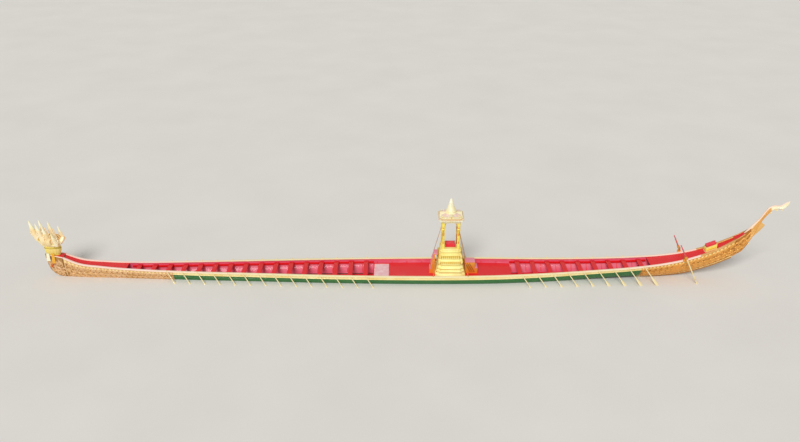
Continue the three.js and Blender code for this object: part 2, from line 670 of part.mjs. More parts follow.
function addSteps() {
  const stairs = (x0, direction, { treads, height, slab, back }) => {
    const outline = [[0, 0]];
    if (slab) outline.push([0, height - slab], [-back, height - slab], [-back, height]);
    else outline.push([0, height]);
    let reached = 0;
    treads.forEach((depth, i) => {
      const rise = height * (1 - i / treads.length);
      if (i) outline.push([reached, rise]);
      reached += depth;
      outline.push([reached, rise]);
    });
    outline.push([reached, 0]);
    const width = 2 * STEPS.halfWidth;
    const geometry = extruded(outline, { depth: width, bevelEnabled: false }).rotateX(Math.PI / 2);
    if (direction < 0) geometry.rotateZ(Math.PI);
    return geometry.translate(x0, 0, MID_DECK.top + GAP);
  };
  const reach = BASE_HALF + GAP;
  addPart('steps_fore', stairs(PAVILION_X - reach, -1, STEPS.fore), ORANGE);
  addPart('steps_aft', stairs(PAVILION_X + reach, 1, STEPS.aft), RED);
}

function addStays() {
  const postFace = POST.centre + POST.width / 2;
  for (const { name: sideName, side } of SIDES) {
    for (const { name: endName, end } of [{ name: 'fore', end: -1 }, { name: 'aft', end: 1 }]) {
      const footX = PAVILION_X + end * (POST.centre + STAY.spread);
      const station = stationAt(footX);
      const foot = new THREE.Vector3(footX, side * (station.beam - 4), station.sheer + GAP + STAY.plate + 6);
      const topX = PAVILION_X + end * POST.centre;
      const top = new THREE.Vector3(topX, side * (postFace + GAP + STAY.plate + 6), STAY.upper);
      const along = foot.clone().sub(top);
      const rod = new THREE.CylinderGeometry(STAY.radius, STAY.radius, along.length(), 8);
      const turn = new THREE.Quaternion().setFromUnitVectors(DOWN_AXIS, along.clone().normalize());
      rod.applyQuaternion(turn).translate(...top.clone().add(foot).multiplyScalar(0.5).toArray());
      const half = STAY.pad / 2;
      const sillBottom = station.sheer + GAP;
      const sill = box(footX - half, footX + half, foot.y - half, foot.y + half, sillBottom, foot.z + 6);
      const faces = [side * (postFace + GAP), side * (postFace + GAP + STAY.plate + 12)];
      const [y0, y1] = [Math.min(...faces), Math.max(...faces)];
      const plate = box(topX - half, topX + half, y0, y1, STAY.upper - half, STAY.upper + half);
      addPart(`stay_${endName}_${sideName}`, geometryOf(join([rod, sill, plate].map(solidOf))), GOLD);
    }
  }
}

// Stern seat and steering oars

function addSternSeat() {
  const { fore, aft, halfWidth, height, margin, cushion } = SEAT;
  // A block that follows the deck's slope, from one height above the deck to another.
  const sloping = (inset, low, high) => {
    const between = slab(fore - 100, aft + 100, (at) => deckTop(at) + low, (at) => deckTop(at) + high);
    const half = halfWidth - inset;
    return geometryOf(solidOf(box(fore + inset, aft - inset, -half, half, 700, 1500)).intersect(between));
  };
  addPart('stern_seat', sloping(0, GAP, height), GOLD);
  addPart('stern_cushion', sloping(margin, height + GAP, height + cushion), CLOTH);
}

const upright = (radius, bottom, top, segments = 20) => {
  const cylinder = new THREE.CylinderGeometry(radius, radius, top - bottom, segments);
  return cylinder.rotateX(Math.PI / 2).translate(0, 0, (bottom + top) / 2);
};
const crosswise = (radius, y0, y1, segments = 20) => {
  const cylinder = new THREE.CylinderGeometry(radius, radius, Math.abs(y1 - y0), segments);
  return cylinder.translate(0, (y0 + y1) / 2, 0);
};

function swivel(side) {
  const { x, y, z } = OAR_PIVOT;
  const top = SWIVEL.blockTop;
  const pieces = [
    upright(SWIVEL.pinRadius, top - 45, top + 10).translate(x, side * SWIVEL.y, 0),
    upright(SWIVEL.discRadius, top + GAP, top + 16).translate(x, side * SWIVEL.y, 0),
    box(x - 26, x + 26, side * SWIVEL.y - 26, side * SWIVEL.y + 26, top + 10, z + 26),
    crosswise(20, side * (SWIVEL.y + 20), side * (y - 26), 16).translate(x, 0, z),
    crosswise(SWIVEL.pinRadius, side * SWIVEL.y, side * (y + 34)).translate(x, 0, z),
    crosswise(20, side * (y + 26), side * (y + 36), 16).translate(x, 0, z),
  ];
  return join(pieces.map(solidOf));
}

function steeringOar(side) {
  const direction = OAR_DIRECTION.clone().multiply(new THREE.Vector3(1, side, 1));
  const length = OAR.above + OAR.below - 100;
  const shaft = new THREE.CylinderGeometry(OAR.radius, OAR.radius, length, 12);
  shaft.translate(0, OAR.above - length / 2, 0);
  const tip = -OAR.below;
  const half = OAR.bladeWidth / 2;
  const neck = tip + OAR.bladeLength;
  const outline = [
    [-22, neck], [-half, tip + 300], [-half, tip + 90], [-30, tip],
    [30, tip], [half, tip + 90], [half, tip + 300], [22, neck],
  ];
  const blade = extruded(outline, { depth: OAR.bladeThickness, bevelEnabled: false });
  const turn = new THREE.Quaternion().setFromUnitVectors(DOWN_AXIS, direction);
  const pieces = [shaft, blade].map((geometry) => solidOf(geometry.applyQuaternion(turn)));
  const collar = box(-38, 38, -22, 22, -44, 44).rotateY(Math.atan2(-OAR_DIRECTION.x, -OAR_DIRECTION.z));
  const hole = crosswise(SWIVEL.pinRadius + SWIVEL.pinClearance, -60, 60);
  const oar = join([...pieces, solidOf(collar)]).subtract(solidOf(hole));
  const geometry = geometryOf(oar);
  return geometry.translate(OAR_PIVOT.x, side * OAR_PIVOT.y, OAR_PIVOT.z);
}

function addSteering() {
  for (const { name, side } of SIDES) {
    addPart(`oar_swivel_${name}`, geometryOf(swivel(side)), ORANGE);
    addPart(`steering_oar_${name}`, steeringOar(side), PALE_GOLD);
  }
}

addPlanking();
addCaps();
addDecks();
addThwarts();
addStem();
addFigurehead();
addTail();
addPavilion();
addSteps();
addStays();
addSternSeat();
addSteering();

export default barge;
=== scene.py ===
"""The looks of a long ceremonial paddled barge, a 1:2 scale model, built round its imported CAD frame.

Metres. X runs from the bow (-X) to the stern (+X), -Y is port, +Z is up, and the waterline is at z = 0.
"""

import json
import logging
from contextlib import contextmanager
from dataclasses import dataclass
from enum import Enum, IntEnum
from math import atan2, copysign, cos, degrees, exp, hypot, pi, radians, sin, sqrt
from typing import Any, Callable, Iterator, Optional, Sequence, Union

import bmesh
import bpy
import numpy as np
from mathutils import Matrix, Vector

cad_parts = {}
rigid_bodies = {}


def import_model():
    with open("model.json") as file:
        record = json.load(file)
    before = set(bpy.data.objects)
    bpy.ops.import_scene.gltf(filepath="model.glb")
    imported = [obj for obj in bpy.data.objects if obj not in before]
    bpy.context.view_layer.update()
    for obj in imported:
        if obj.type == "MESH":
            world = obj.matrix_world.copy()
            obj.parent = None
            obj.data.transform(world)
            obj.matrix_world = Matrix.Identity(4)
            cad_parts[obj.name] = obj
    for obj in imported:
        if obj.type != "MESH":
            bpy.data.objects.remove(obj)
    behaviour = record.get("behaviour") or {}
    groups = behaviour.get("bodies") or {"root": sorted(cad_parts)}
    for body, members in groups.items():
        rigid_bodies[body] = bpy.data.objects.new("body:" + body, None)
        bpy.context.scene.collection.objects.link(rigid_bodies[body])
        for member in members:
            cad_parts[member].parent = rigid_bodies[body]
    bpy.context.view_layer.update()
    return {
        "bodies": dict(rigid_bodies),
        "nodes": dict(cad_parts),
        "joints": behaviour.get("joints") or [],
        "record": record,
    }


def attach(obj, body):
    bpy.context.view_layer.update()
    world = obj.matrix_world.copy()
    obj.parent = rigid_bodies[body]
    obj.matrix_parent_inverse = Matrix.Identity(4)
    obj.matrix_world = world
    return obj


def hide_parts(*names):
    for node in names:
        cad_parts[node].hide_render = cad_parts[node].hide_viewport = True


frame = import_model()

LOG = logging.getLogger("barge")

# The gap between parts that meet, the end decks' depth under the gunwale, and two shading angles
GAP = 0.0003
DECK_DROP = 0.038
SOFT = 50
ROUND = 60

Piece = bpy.types.Object
Row = Sequence[float]
Table = Sequence[Row]
Rows = Sequence[Table]
Warp = Callable[[np.ndarray], np.ndarray]
Colour = tuple[float, float, float, float]
Values = Union[float, np.ndarray]


class Side(IntEnum):
    """The two sides of the barge, by the sign of y."""

    PORT = -1
    STARBOARD = 1

    def __format__(self, spec: str) -> str:
        """The side as the nodes' names have it."""
        return self.name.lower()


class Slot(Enum):
    """The record's material slots."""

    GILDED_WOOD = "gilded_wood"
    PALE_GOLD_WOOD = "pale_gold_wood"
    GREEN_WOOD = "green_painted_wood"
    RED_WOOD = "red_painted_wood"
    CREAM_WOOD = "cream_painted_wood"
    GILDED_METAL = "gilded_metal"
    RED_CLOTH = "red_cloth"
    SASH_CLOTH = "sash_cloth"


# Shader maths


class Socket:
    """One output of a shader node. Arithmetic on it adds Math nodes."""

    def __init__(self, recipe: "Recipe", output: bpy.types.NodeSocket) -> None:
        """Keeps the recipe and the node's output."""
        self.recipe = recipe
        self.output = output

    def _math(self, operation: str, first: Any, second: Any) -> "Socket":
        """Adds one Math node on two values."""
        return self.recipe.node("Math", {0: first, 1: second}, operation=operation)

    def __add__(self, other: Any) -> "Socket":
        """self + other."""
        return self._math("ADD", self, other)

    def __rsub__(self, other: Any) -> "Socket":
        """other - self."""
        return self._math("SUBTRACT", other, self)

    def __mul__(self, other: Any) -> "Socket":
        """self * other."""
        return self._math("MULTIPLY", self, other)

    def wave(self) -> "Socket":
        """The sine of the value."""
        return self._math("SINE", self, 0)


class Recipe:
    """A material and its nodes, added one at a time."""

    def __init__(self, name: str) -> None:
        """Starts a material that holds only a Principled shader and its output."""
        self.material = bpy.data.materials.new(name)
        self.material.use_nodes = True
        self.tree = self.material.node_tree
        self.shader = self.tree.nodes["Principled BSDF"]
        self.place = self.node("TexCoord", {}, "Object")

    def node(self, kind: str, inputs: dict, output: Union[int, str] = 0, **settings: Any) -> Socket:
        """Adds a node.

        Args:
            kind: The node's type, without the beginning that all have.
            inputs: The values or links of its inputs, by name or number.
            output: The output to give back, by name or number.
            settings: Its properties, set first.

        Returns:
            The chosen output.
        """
        node = self.tree.nodes.new(f"ShaderNode{kind}")
        for key, value in settings.items():
            setattr(node, key, value)
        for key, value in inputs.items():
            self.feed(key, value, node)
        return Socket(self, node.outputs[output])

    def feed(self, name: Union[int, str], value: Any, node: Optional[bpy.types.Node] = None) -> None:
        """Links or sets one input of a node, or of the shader where no node is given."""
        target = (node or self.shader).inputs[name]
        if isinstance(value, Socket):
            self.tree.links.new(value.output, target)
        else:
            target.default_value = value

    def axis(self, name: str) -> Socket:
        """One of the piece's own coordinates."""
        return self.node("SeparateXYZ", {"Vector": self.place}, name)

    def scaled(self, sizes: Row, turn: Row = (0, 0, 0)) -> Socket:
        """The piece's own coordinates, stretched and turned."""
        return self.node("Mapping", {"Vector": self.place, "Scale": sizes, "Rotation": turn})

    def noise(self, scale: float, detail: float = 3, vector: Optional[Socket] = None) -> Socket:
        """Soft random variation from 0 to 1."""
        return self.node("TexNoise", {"Vector": vector or self.place, "Scale": scale, "Detail": detail},
            "Fac")

    def cells(self, scale: float, spread: float, vector: Optional[Socket] = None) -> Socket:
        """The distance to the nearest of many points, set out in rows where spread is 0."""
        inputs = {"Vector": vector or self.place, "Scale": scale, "Randomness": spread}
        return self.node("TexVoronoi", inputs, "Distance")

    def mix(self, share: Any, first: Any, second: Any) -> Socket:
        """A colour between two colours."""
        return self.node("Mix", {0: share, 6: first, 7: second}, 2, data_type="RGBA")

    def ramp(self, value: Socket, low: float, high: float) -> Socket:
        """The value's climb from 0 at low to 1 at high."""
        return self.node("MapRange", {"Value": value, "From Min": low, "From Max": high})

    def bump(self, height: Socket, strength: float, distance: float) -> None:
        """Raises the surface by a height."""
        self.feed("Normal", self.node("Bump", {"Height": height, "Strength": strength,
            "Distance": distance}))


def paint(code: str) -> Colour:
    """A colour from its screen code, such as c99a3a, as the shader wants it."""
    parts = [int(code[i : i + 2], 16) / 255 for i in (0, 2, 4)]
    linear = [part / 12.92 if part <= 0.04045 else ((part + 0.055) / 1.055) ** 2.4 for part in parts]
    return (*linear, 1)


def toned(code: str, *factors: float) -> Colour:
    """A colour with its channels multiplied, each by its own factor."""
    return (*(min(1, part * factor) for part, factor in zip(paint(code), factors)), 1)


# Finishes


@dataclass(frozen=True)
class Gilding:
    """Gold leaf over carved wood, bright on the high parts, with brown painted shade in the carving's low
    parts.
    """

    name: str
    leaf: str
    # recess: the brown painted as shade where the carving is low
    recess: str
    carving: float = 60
    depth: float = 0.002
    cover: float = 0.3
    metal: float = 0.3
    slot: Slot = Slot.GILDED_WOOD

    def fill(self, recipe: Recipe) -> None:
        """Adds the finish's nodes."""
        drift = recipe.noise(self.carving * 0.35, 2)
        rings = {"Vector": recipe.place, "Scale": self.carving * 0.22, "Distortion": 9, "Detail": 2}
        swirl = recipe.node("TexWave", rings, "Fac", wave_type="RINGS")
        relief = recipe.ramp(swirl * 0.6 + recipe.cells(self.carving, 0.8) * 0.9, 0.15, 0.75)
        worn = recipe.noise(3, 4)
        leaf = recipe.mix(recipe.ramp(worn, 0.35, 0.7), paint(self.leaf), toned(self.leaf, 1.12, 1.22, 1.7))
        # Painted shade: the recess brown is laid where the relief, which also drives the bump, is low.
        hollow = recipe.ramp(relief + drift * 0.4, 0.15, 0.15 + self.cover)
        recipe.feed("Base Color", recipe.mix(hollow, paint(self.recess), leaf))
        recipe.feed("Metallic", self.metal)
        recipe.feed("Roughness", 0.52 - hollow * 0.2 + worn * 0.1)
        recipe.bump(relief + recipe.noise(220) * 0.1, 0.6, self.depth)


@dataclass(frozen=True)
class ScaledGilding:
    """Gold leaf over serpent scales, set in slanting rows, with brown painted shade along the seams between
    them.
    """

    name: str
    leaf: str
    recess: str
    slot: Slot = Slot.GILDED_WOOD

    def fill(self, recipe: Recipe) -> None:
        """Adds the finish's nodes."""
        dome = recipe.cells(30, 0, recipe.scaled((1, 1, 0.8), (0, radians(45), 0)))
        edge = recipe.ramp(dome, 0.42, 0.6)
        worn = recipe.noise(5, 4)
        leaf = recipe.mix(worn, paint(self.leaf), paint("f8dfa4"))
        # Painted shade: the recess brown is laid along the scales' edges, where the bump is lowest.
        recipe.feed("Base Color", recipe.mix(edge, leaf, paint(self.recess)))
        recipe.feed("Metallic", 0.4)
        recipe.feed("Roughness", edge * 0.2 + 0.36 + worn * 0.1)
        recipe.bump(1 - dome, 0.7, 0.005)


@dataclass(frozen=True)
class PaintedWood:
    """Brushed paint over grained planks, worn pale, that may change towards the barge's ends."""

    name: str
    colour: str
    worn: str
    slot: Slot
    gloss: float = 0.45
    ends: str = ""

    def fill(self, recipe: Recipe) -> None:
        """Adds the finish's nodes."""
        grain = recipe.noise(14, 5, recipe.scaled((0.35, 6, 6)))
        brushed = recipe.noise(90, 2, recipe.scaled((0.08, 1, 1)))
        thin = recipe.ramp(recipe.noise(2.3, 4) * 0.6 + grain * 0.4, 0.5, 0.72)
        shade = recipe.mix(grain * 0.5, paint(self.colour), toned(self.colour, 0.72, 0.72, 0.72))
        if self.ends:
            along = recipe.axis("X")
            shade = recipe.mix(recipe.ramp(along * along, 16, 60), shade, paint(self.ends))
        recipe.feed("Base Color", recipe.mix(thin * 0.35, shade, paint(self.worn)))
        recipe.feed("Roughness", brushed * 0.16 + thin * 0.12 + (self.gloss - 0.08))
        recipe.feed("Coat Weight", 0.15)
        recipe.bump(grain * 0.6 + brushed * 0.4, 0.25, 0.002)


@dataclass(frozen=True)
class GildedMetal:
    """Gilded fittings, brushed and slightly tarnished."""

    name: str
    slot: Slot = Slot.GILDED_METAL

    def fill(self, recipe: Recipe) -> None:
        """Adds the finish's nodes."""
        tarnish = recipe.noise(18, 4)
        scratch = recipe.noise(160, 2, recipe.scaled((1, 1, 0.1)))
        recipe.feed("Base Color", recipe.mix(recipe.ramp(tarnish, 0.45, 0.8), paint("e2b452"),
            paint("96662a")))
        recipe.feed("Metallic", 0.75)
        recipe.feed("Roughness", tarnish * 0.25 + scratch * 0.1 + 0.18)
        recipe.bump(scratch, 0.12, 0.001)


@dataclass(frozen=True)
class Woven:
    """Cloth with its weave, faded in patches."""

    name: str
    colour: str
    faded: str
    slot: Slot
    threads: float = 420

    def fill(self, recipe: Recipe) -> None:
        """Adds the finish's nodes."""
        warp = ((recipe.axis("X") + recipe.axis("Z")) * self.threads).wave()
        weft = ((recipe.axis("Y") + recipe.axis("Z") * 0.6) * self.threads).wave()
        weave = (warp * weft) * 0.5 + 0.5
        fade = recipe.ramp(recipe.noise(7, 4), 0.4, 0.75)
        cloth = recipe.mix(fade, paint(self.colour), paint(self.faded))
        recipe.feed("Base Color", recipe.mix(weave * 0.18, cloth, toned(self.colour, 0.5, 0.5, 0.5)))
        recipe.feed("Roughness", weave * 0.1 + 0.8)
        recipe.feed("Sheen Weight", 0.3)
        recipe.bump(weave, 0.3, 0.0015)


BOW_GOLD = Gilding("bow_gold", "b88446", "643410", 13, 0.006, 0.45, 0.45)
BOW_RELIEF = Gilding("bow_relief", "e2b478", "98602a", 50)
STERN_GOLD = Gilding("stern_gold", "c07a28", "643008", 13, 0.006, 0.45, 0.45)
STERN_RELIEF = Gilding("stern_relief", "e2a046", "945218", 50)
GOLD_FINE = Gilding("gold_fine", "efbf4e", "a05a1c", 70, metal=0.45)
GOLD_PALE = Gilding("gold_pale", "f6dd8a", "c8873c", cover=0.25, metal=0.2, slot=Slot.PALE_GOLD_WOOD)
GOLD_BAND = Gilding("gold_band", "f6dc92", "d2924a", cover=0.25, metal=0.2)
GOLD_RELIEF = Gilding("gold_relief", "f0b966", "ac6420", 50, metal=0.35)
GOLD_SCALES = ScaledGilding("gold_scales", "f6d488", "b9772f")
GOLD_HEAD = Gilding("gold_head", "fce0a6", "b8783c", 45, 0.0015, metal=0.15)
PEACH_GOLD = Gilding("peach_gold", "f8d69c", "a8682f", metal=0.15)
BROWN_WOOD = PaintedWood("brown_wood", "8e4c1e", "b0703a", Slot.GILDED_WOOD)
CREAM_GOLD = Gilding("cream_gold", "fbf0bc", "e0b25c", 90, 0.001, 0.2, 0.1)
GOLD_LOTUS = Gilding("gold_lotus", "dcac1c", "a06a14", 90, 0.001, 0.2)
YELLOW_CREAM = Gilding("yellow_cream", "fbe88c", "e0b048", 50, 0.0015, 0.2, 0.1, Slot.CREAM_WOOD)
YELLOW_GILT = Gilding("yellow_gilt", "f9da58", "e0862a", 70, 0.001, metal=0.2)
TAN_GOLD = Gilding("tan_gold", "e0a860", "9a5a28", depth=0.0015)
ORANGE_GOLD = Gilding("orange_gold", "ee9a34", "a04a14")
GOLD_METAL = GildedMetal("gold_metal")
GREEN_HULL = PaintedWood("green_hull", "2c7434", "6a9c4e", Slot.GREEN_WOOD)
DARK_GREEN = PaintedWood("dark_green", "1f3a26", "3d5a3a", Slot.GREEN_WOOD)
YELLOW_WOOD = PaintedWood("yellow_wood", "f2d85c", "f6ecb0", Slot.GILDED_WOOD)
EYE_PAINT = PaintedWood("eye_paint", "2a1a12", "4a2c1c", Slot.GILDED_WOOD, 0.3)
RED_BOARDS = PaintedWood("red_boards", "ea0e18", "f04048", Slot.RED_WOOD)
PINK_BOARDS = PaintedWood("pink_boards", "ee8ea2", "fbdde0", Slot.RED_WOOD)
ROSE_BOARDS = PaintedWood("rose_boards", "e45470", "f6b4bc", Slot.RED_WOOD)
# Pale pink-cream, a painted highlight along the tail's upper edge
HIGHLIGHT_CREAM = PaintedWood("pink_cream", "fbdcc4", "fdeedc", Slot.GILDED_WOOD, 0.4)
PINK_TILES = PaintedWood("pink_tiles", "f6d8cc", "f8e6dc", Slot.CREAM_WOOD, 0.4)
RED_GLASS = PaintedWood("red_glass", "c8242c", "e8686c", Slot.CREAM_WOOD, 0.2)
CREAM_WOOD = PaintedWood("cream_wood", "f8ecc0", "fbf5dc", Slot.CREAM_WOOD, 0.4)
RIM_PAINT = PaintedWood("rim_paint", "f8ebb8", "fbf5dc", Slot.CREAM_WOOD, 0.4, ends="fcdccc")
PALE_PADDLE = PaintedWood("pale_paddle", "f4e2ac", "fbf2d4", Slot.PALE_GOLD_WOOD)
RED_SHAFT = PaintedWood("red_shaft", "d9465c", "f0909a", Slot.RED_WOOD)
THRONE_CLOTH = Woven("throne_cloth", "f02434", "f6505c", Slot.RED_CLOTH)
CURTAIN_CLOTH = Woven("curtain_cloth", "96281c", "b4513c", Slot.RED_CLOTH)
GOLD_CORD = Woven("gold_cord", "e2b04a", "f2d284", Slot.RED_CLOTH, 900)
RED_CORD = Woven("red_cord", "c41a2a", "e04656", Slot.RED_CLOTH, 900)
CARPET_CLOTH = Woven("carpet_cloth", "f0b9bd", "f8d9d8", Slot.RED_CLOTH, 300)
YELLOW_CLOTH = Woven("yellow_cloth", "f6e06a", "f0cf8a", Slot.SASH_CLOTH)
ORANGE_CLOTH = Woven("orange_cloth", "f4b01e", "f8c848", Slot.SASH_CLOTH)
WHITE_CLOTH = Woven("white_cloth", "f6f4d0", "fbf8ea", Slot.SASH_CLOTH)
TASSEL_CLOTH = Woven("tassel_cloth", "d8580e", "ec8230", Slot.SASH_CLOTH)

Finish = Union[Gilding, ScaledGilding, PaintedWood, GildedMetal, Woven]


@dataclass
class Maker:
    """A maker of one part of the barge, who gives its pieces material, body and CAD nodes."""

    materials: dict[str, bpy.types.Material]

    def material(self, finish: Finish) -> bpy.types.Material:
        """The finish's material, made when it is first asked for."""
        if finish.name not in self.materials:
            recipe = Recipe(finish.name)
            finish.fill(recipe)
            self.materials[finish.name] = recipe.material
        return self.materials[finish.name]

    def dress(self, piece: Piece, finish: Finish, nodes: Sequence[str] = (), smooth: float = 35,
            body: str = "barge") -> Piece:
        """Finishes a piece.

        Args:
            piece: The modelled piece.
            finish: Its finish.
            nodes: The CAD nodes that it stands for.
            smooth: The largest angle in degrees that is shaded smooth.
            body: The CAD body that it moves with.

        Returns:
            The same piece.
        """
        focus(piece)
        bpy.ops.object.transform_apply()
        bpy.ops.object.shade_smooth_by_angle(angle=radians(smooth))
        piece.data.materials.clear()
        piece.data.materials.append(self.material(finish))
        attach(piece, body)
        if nodes:
            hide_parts(*nodes)
        LOG.info("piece %s, %d faces, on %s", piece.name, len(piece.data.polygons), body)
        return piece

    def spread(self, name: str, motif: Piece, places: Sequence[Matrix], *finishing: Any,
            warp: Optional[Warp] = None, **settings: Any) -> Piece:
        """Copies a motif to many places as one finished piece."""
        return self.dress(repeated(name, motif, places, warp), *finishing, **settings)


# Modelling by operators


def select_nothing() -> None:
    """Goes to object mode with nothing selected."""
    if bpy.context.object and bpy.context.object.mode != "OBJECT":
        bpy.ops.object.mode_set(mode="OBJECT")
    bpy.ops.object.select_all(action="DESELECT")


def focus(piece: Piece) -> None:
    """Selects one piece alone and makes it the active one."""
    select_nothing()
    piece.select_set(True)
    bpy.context.view_layer.objects.active = piece


def added(name: str, operator: Callable[..., Any], **settings: Any) -> Piece:
    """Adds a primitive by its operator, under a name."""
    select_nothing()
    operator(**settings)
    piece = bpy.context.object
    piece.name = piece.data.name = name
    bpy.ops.object.transform_apply()
    return piece


@contextmanager
def editing(piece: Piece, kind: str = "FACE") -> Iterator[bmesh.types.BMesh]:
    """Opens a piece in edit mode, with none of its vertices, edges or faces selected."""
    focus(piece)
    bpy.ops.object.mode_set(mode="EDIT")
    bpy.ops.mesh.select_mode(type=kind)
    bpy.ops.mesh.select_all(action="DESELECT")
    yield bmesh.from_edit_mesh(piece.data)
    bpy.ops.object.mode_set(mode="OBJECT")


def reshape(piece: Piece, points: np.ndarray) -> Piece:
    """Moves a piece's vertices to the given points."""
    piece.data.vertices.foreach_set("co", points.reshape(-1))
    piece.data.update()
    return piece


def panelled(piece: Piece, chosen: Callable[[bmesh.types.BMFace], bool], *steps: Row,
        single: bool = False) -> Piece:
    """Insets the chosen faces, together or one by one, in steps of a width and a depth."""
    with editing(piece) as mesh:
        for face in mesh.faces:
            face.select_set(chosen(face))
        for width, depth in steps:
            bpy.ops.mesh.inset(thickness=width, depth=depth, use_individual=single)
    return piece


def tidy(piece: Piece, caps: bool = True) -> Piece:
    """Merges a piece's doubles, closes its open ends and turns its faces outwards."""
    with editing(piece, "VERT"):
        bpy.ops.mesh.select_all(action="SELECT")
        bpy.ops.mesh.remove_doubles(threshold=2e-5)
        if caps:
            bpy.ops.mesh.fill_holes(sides=0)
            bpy.ops.mesh.select_all(action="SELECT")
        bpy.ops.mesh.normals_make_consistent(inside=False)
    return piece


def loft(name: str, rows: Rows, wrap: bool = True, caps: bool = True) -> Piece:
    """Shapes a grid so that its rows run through the given points.

    Args:
        name: The piece's name.
        rows: Rows of points, all of one length.
        wrap: Whether each row closes on itself.
        caps: Whether open ends are closed.

    Returns:
        The new piece.
    """
    points = np.array(rows, float)
    if wrap:
        points = np.concatenate([points, points[:, :1]], axis=1)
    count, width = points.shape[:2]
    piece = added(name, bpy.ops.mesh.primitive_grid_add, x_subdivisions=width - 1, y_subdivisions=count - 1)
    return tidy(reshape(piece, points), caps)


def cloth(name: str, rows: Rows, thickness: float, offset: float = 0, wrap: bool = False) -> Piece:
    """Shapes an open sheet and gives it a thickness, on both sides of it where offset is 0."""
    return modify(loft(name, rows, wrap, False), "SOLIDIFY", thickness=thickness, offset=offset)


def modify(piece: Piece, kind: str, **settings: Any) -> Piece:
    """Adds a modifier with its settings and applies it."""
    focus(piece)
    modifier = piece.modifiers.new(kind.lower(), kind)
    for key, value in settings.items():
        setattr(modifier, key, value)
    bpy.ops.object.modifier_apply(modifier=modifier.name)
    return piece


def smoother(piece: Piece, levels: int = 1, kind: str = "CATMULL_CLARK") -> Piece:
    """Divides every face of a piece, once or more."""
    return modify(piece, "SUBSURF", levels=levels, render_levels=levels, subdivision_type=kind)


def rounded(piece: Piece, width: float, segments: int = 2) -> Piece:
    """Rounds a piece's sharp edges."""
    return modify(piece, "BEVEL", width=width, segments=segments, limit_method="ANGLE",
        angle_limit=radians(35))


def block(name: str, low: Row, high: Row, edge: float = 0.003, segments: int = 2) -> Piece:
    """A block between two corners, given in any order, with rounded edges."""
    low, high = np.minimum(low, high), np.maximum(low, high)
    piece = added(name, bpy.ops.mesh.primitive_cube_add, size=1)
    piece.data.transform(at(*((low + high) / 2)) @ sized(*(high - low)))
    return rounded(piece, edge, segments)


def hermite(t: Values, start: Values, end: Values, rise: Values, fall: Values) -> Values:
    """The smooth way from start to end, with the slopes rise and fall at them."""
    curve = (2 * t**3 - 3 * t**2 + 1) * start + (t**3 - 2 * t**2 + t) * rise
    return curve + (3 * t**2 - 2 * t**3) * end + (t**3 - t**2) * fall


def merged(name: str, parts: Sequence[Piece]) -> Piece:
    """Joins several parts into one piece."""
    focus(parts[0])
    for part in parts:
        part.select_set(True)
    if len(parts) > 1:
        bpy.ops.object.join()
    parts[0].name = parts[0].data.name = name
    return parts[0]


def repeated(name: str, motif: Piece, places: Sequence[Matrix], warp: Optional[Warp] = None) -> Piece:
    """Copies a motif to many places as one piece, and deletes the motif.

    Args:
        name: The new piece's name.
        motif: The model of one.
        places: Where each copy goes, in the motif's space or in the warp's.
        warp: Bends the placed copies, such as onto the hull's side.

    Returns:
        The new piece.
    """
    corners = np.array([(*vertex.co, 1) for vertex in motif.data.vertices])
    faces = [list(polygon.vertices) for polygon in motif.data.polygons]
    points, polygons = [], []
    for place in places:
        start = len(points) * len(corners)
        mirror = place.determinant() < 0
        points.append((corners @ np.array(place).T)[:, :3])
        polygons += [[start + i for i in (reversed(face) if mirror else face)] for face in faces]
    cloud = np.concatenate(points)
    mesh = bpy.data.meshes.new(name)
    mesh.from_pydata((warp(cloud) if warp else cloud).tolist(), [], polygons)
    bpy.data.objects.remove(motif)
    piece = bpy.data.objects.new(name, mesh)
    bpy.context.scene.collection.objects.link(piece)
    return piece


UPRIGHT = Matrix(((0, 0, 1, 0), (1, 0, 0, 0), (0, 1, 0, 0), (0, 0, 0, 1)))


def sized(x: float, y: float, z: float) -> Matrix:
    """A stretch along each axis."""
    return Matrix.Diagonal((x, y, z, 1))


def at(x: float, y: float, z: float, turn: float = 0, size: float = 1, axis: str = "Z") -> Matrix:
    """A place: moved to a point, turned in degrees about an axis and sized."""
    return Matrix.Translation((x, y, z)) @ Matrix.Rotation(radians(turn), 4, axis) @ Matrix.Scale(size, 4)


def oval(centre: Row, first: Row, second: Row, count: int = 12) -> list[Vector]:
    """Points round an ellipse given by its centre and its two half-axes."""
    middle, u, v = Vector(centre), Vector(first), Vector(second)
    angles = [2 * pi * i / count for i in range(count)]
    return [middle + u * cos(angle) + v * sin(angle) for angle in angles]


def eased(knots: Table, count: int) -> np.ndarray:
    """Points on a smooth curve through a few knots.

    Args:
        knots: The knots, each a row of numbers.
        count: How many points to give back.

    Returns:
        One row for each point.
    """
    values = np.array(knots, float)
    steps = np.linspace(0, len(values) - 1, count)
    slopes = np.gradient(values, axis=0)
    low = np.minimum(steps.astype(int), len(values) - 2)
    return hermite((steps - low)[:, None], values[low], values[low + 1], slopes[low], slopes[low + 1])


def flame(lean: float = 0.28, double: bool = False) -> Piece:
    """A flame leaf 1 long: a full foot that narrows to a tip bent to one side, crowned along its middle.

    Args:
        lean: How far the tip bends, along X.
        double: Whether it is crowned on both faces.

    Returns:
        The leaf, its foot at the origin, its tip up Y and its back on the XY plane.
    """
    knots = [(0.16, 0, 0), (0.3, 0.2, 0), (0.2, 0.5, 0.05), (0.1, 0.78, 0.16), (0, 1, lean)]
    rows = []
    for half, along, bend in eased(knots, 7):
        half = max(half, 0.002)
        rise = 0.12 * min(1, half / 0.2)
        rows.append([(bend + half * across, along, rise * up) for across, up in ((-1, 0), (-0.45, 0.75),
            (0, 1), (0.45, 0.75), (1, 0))])
    piece = loft("flame", rows)
    return modify(piece, "MIRROR", use_axis=(False, False, True), use_clip=True) if double else piece


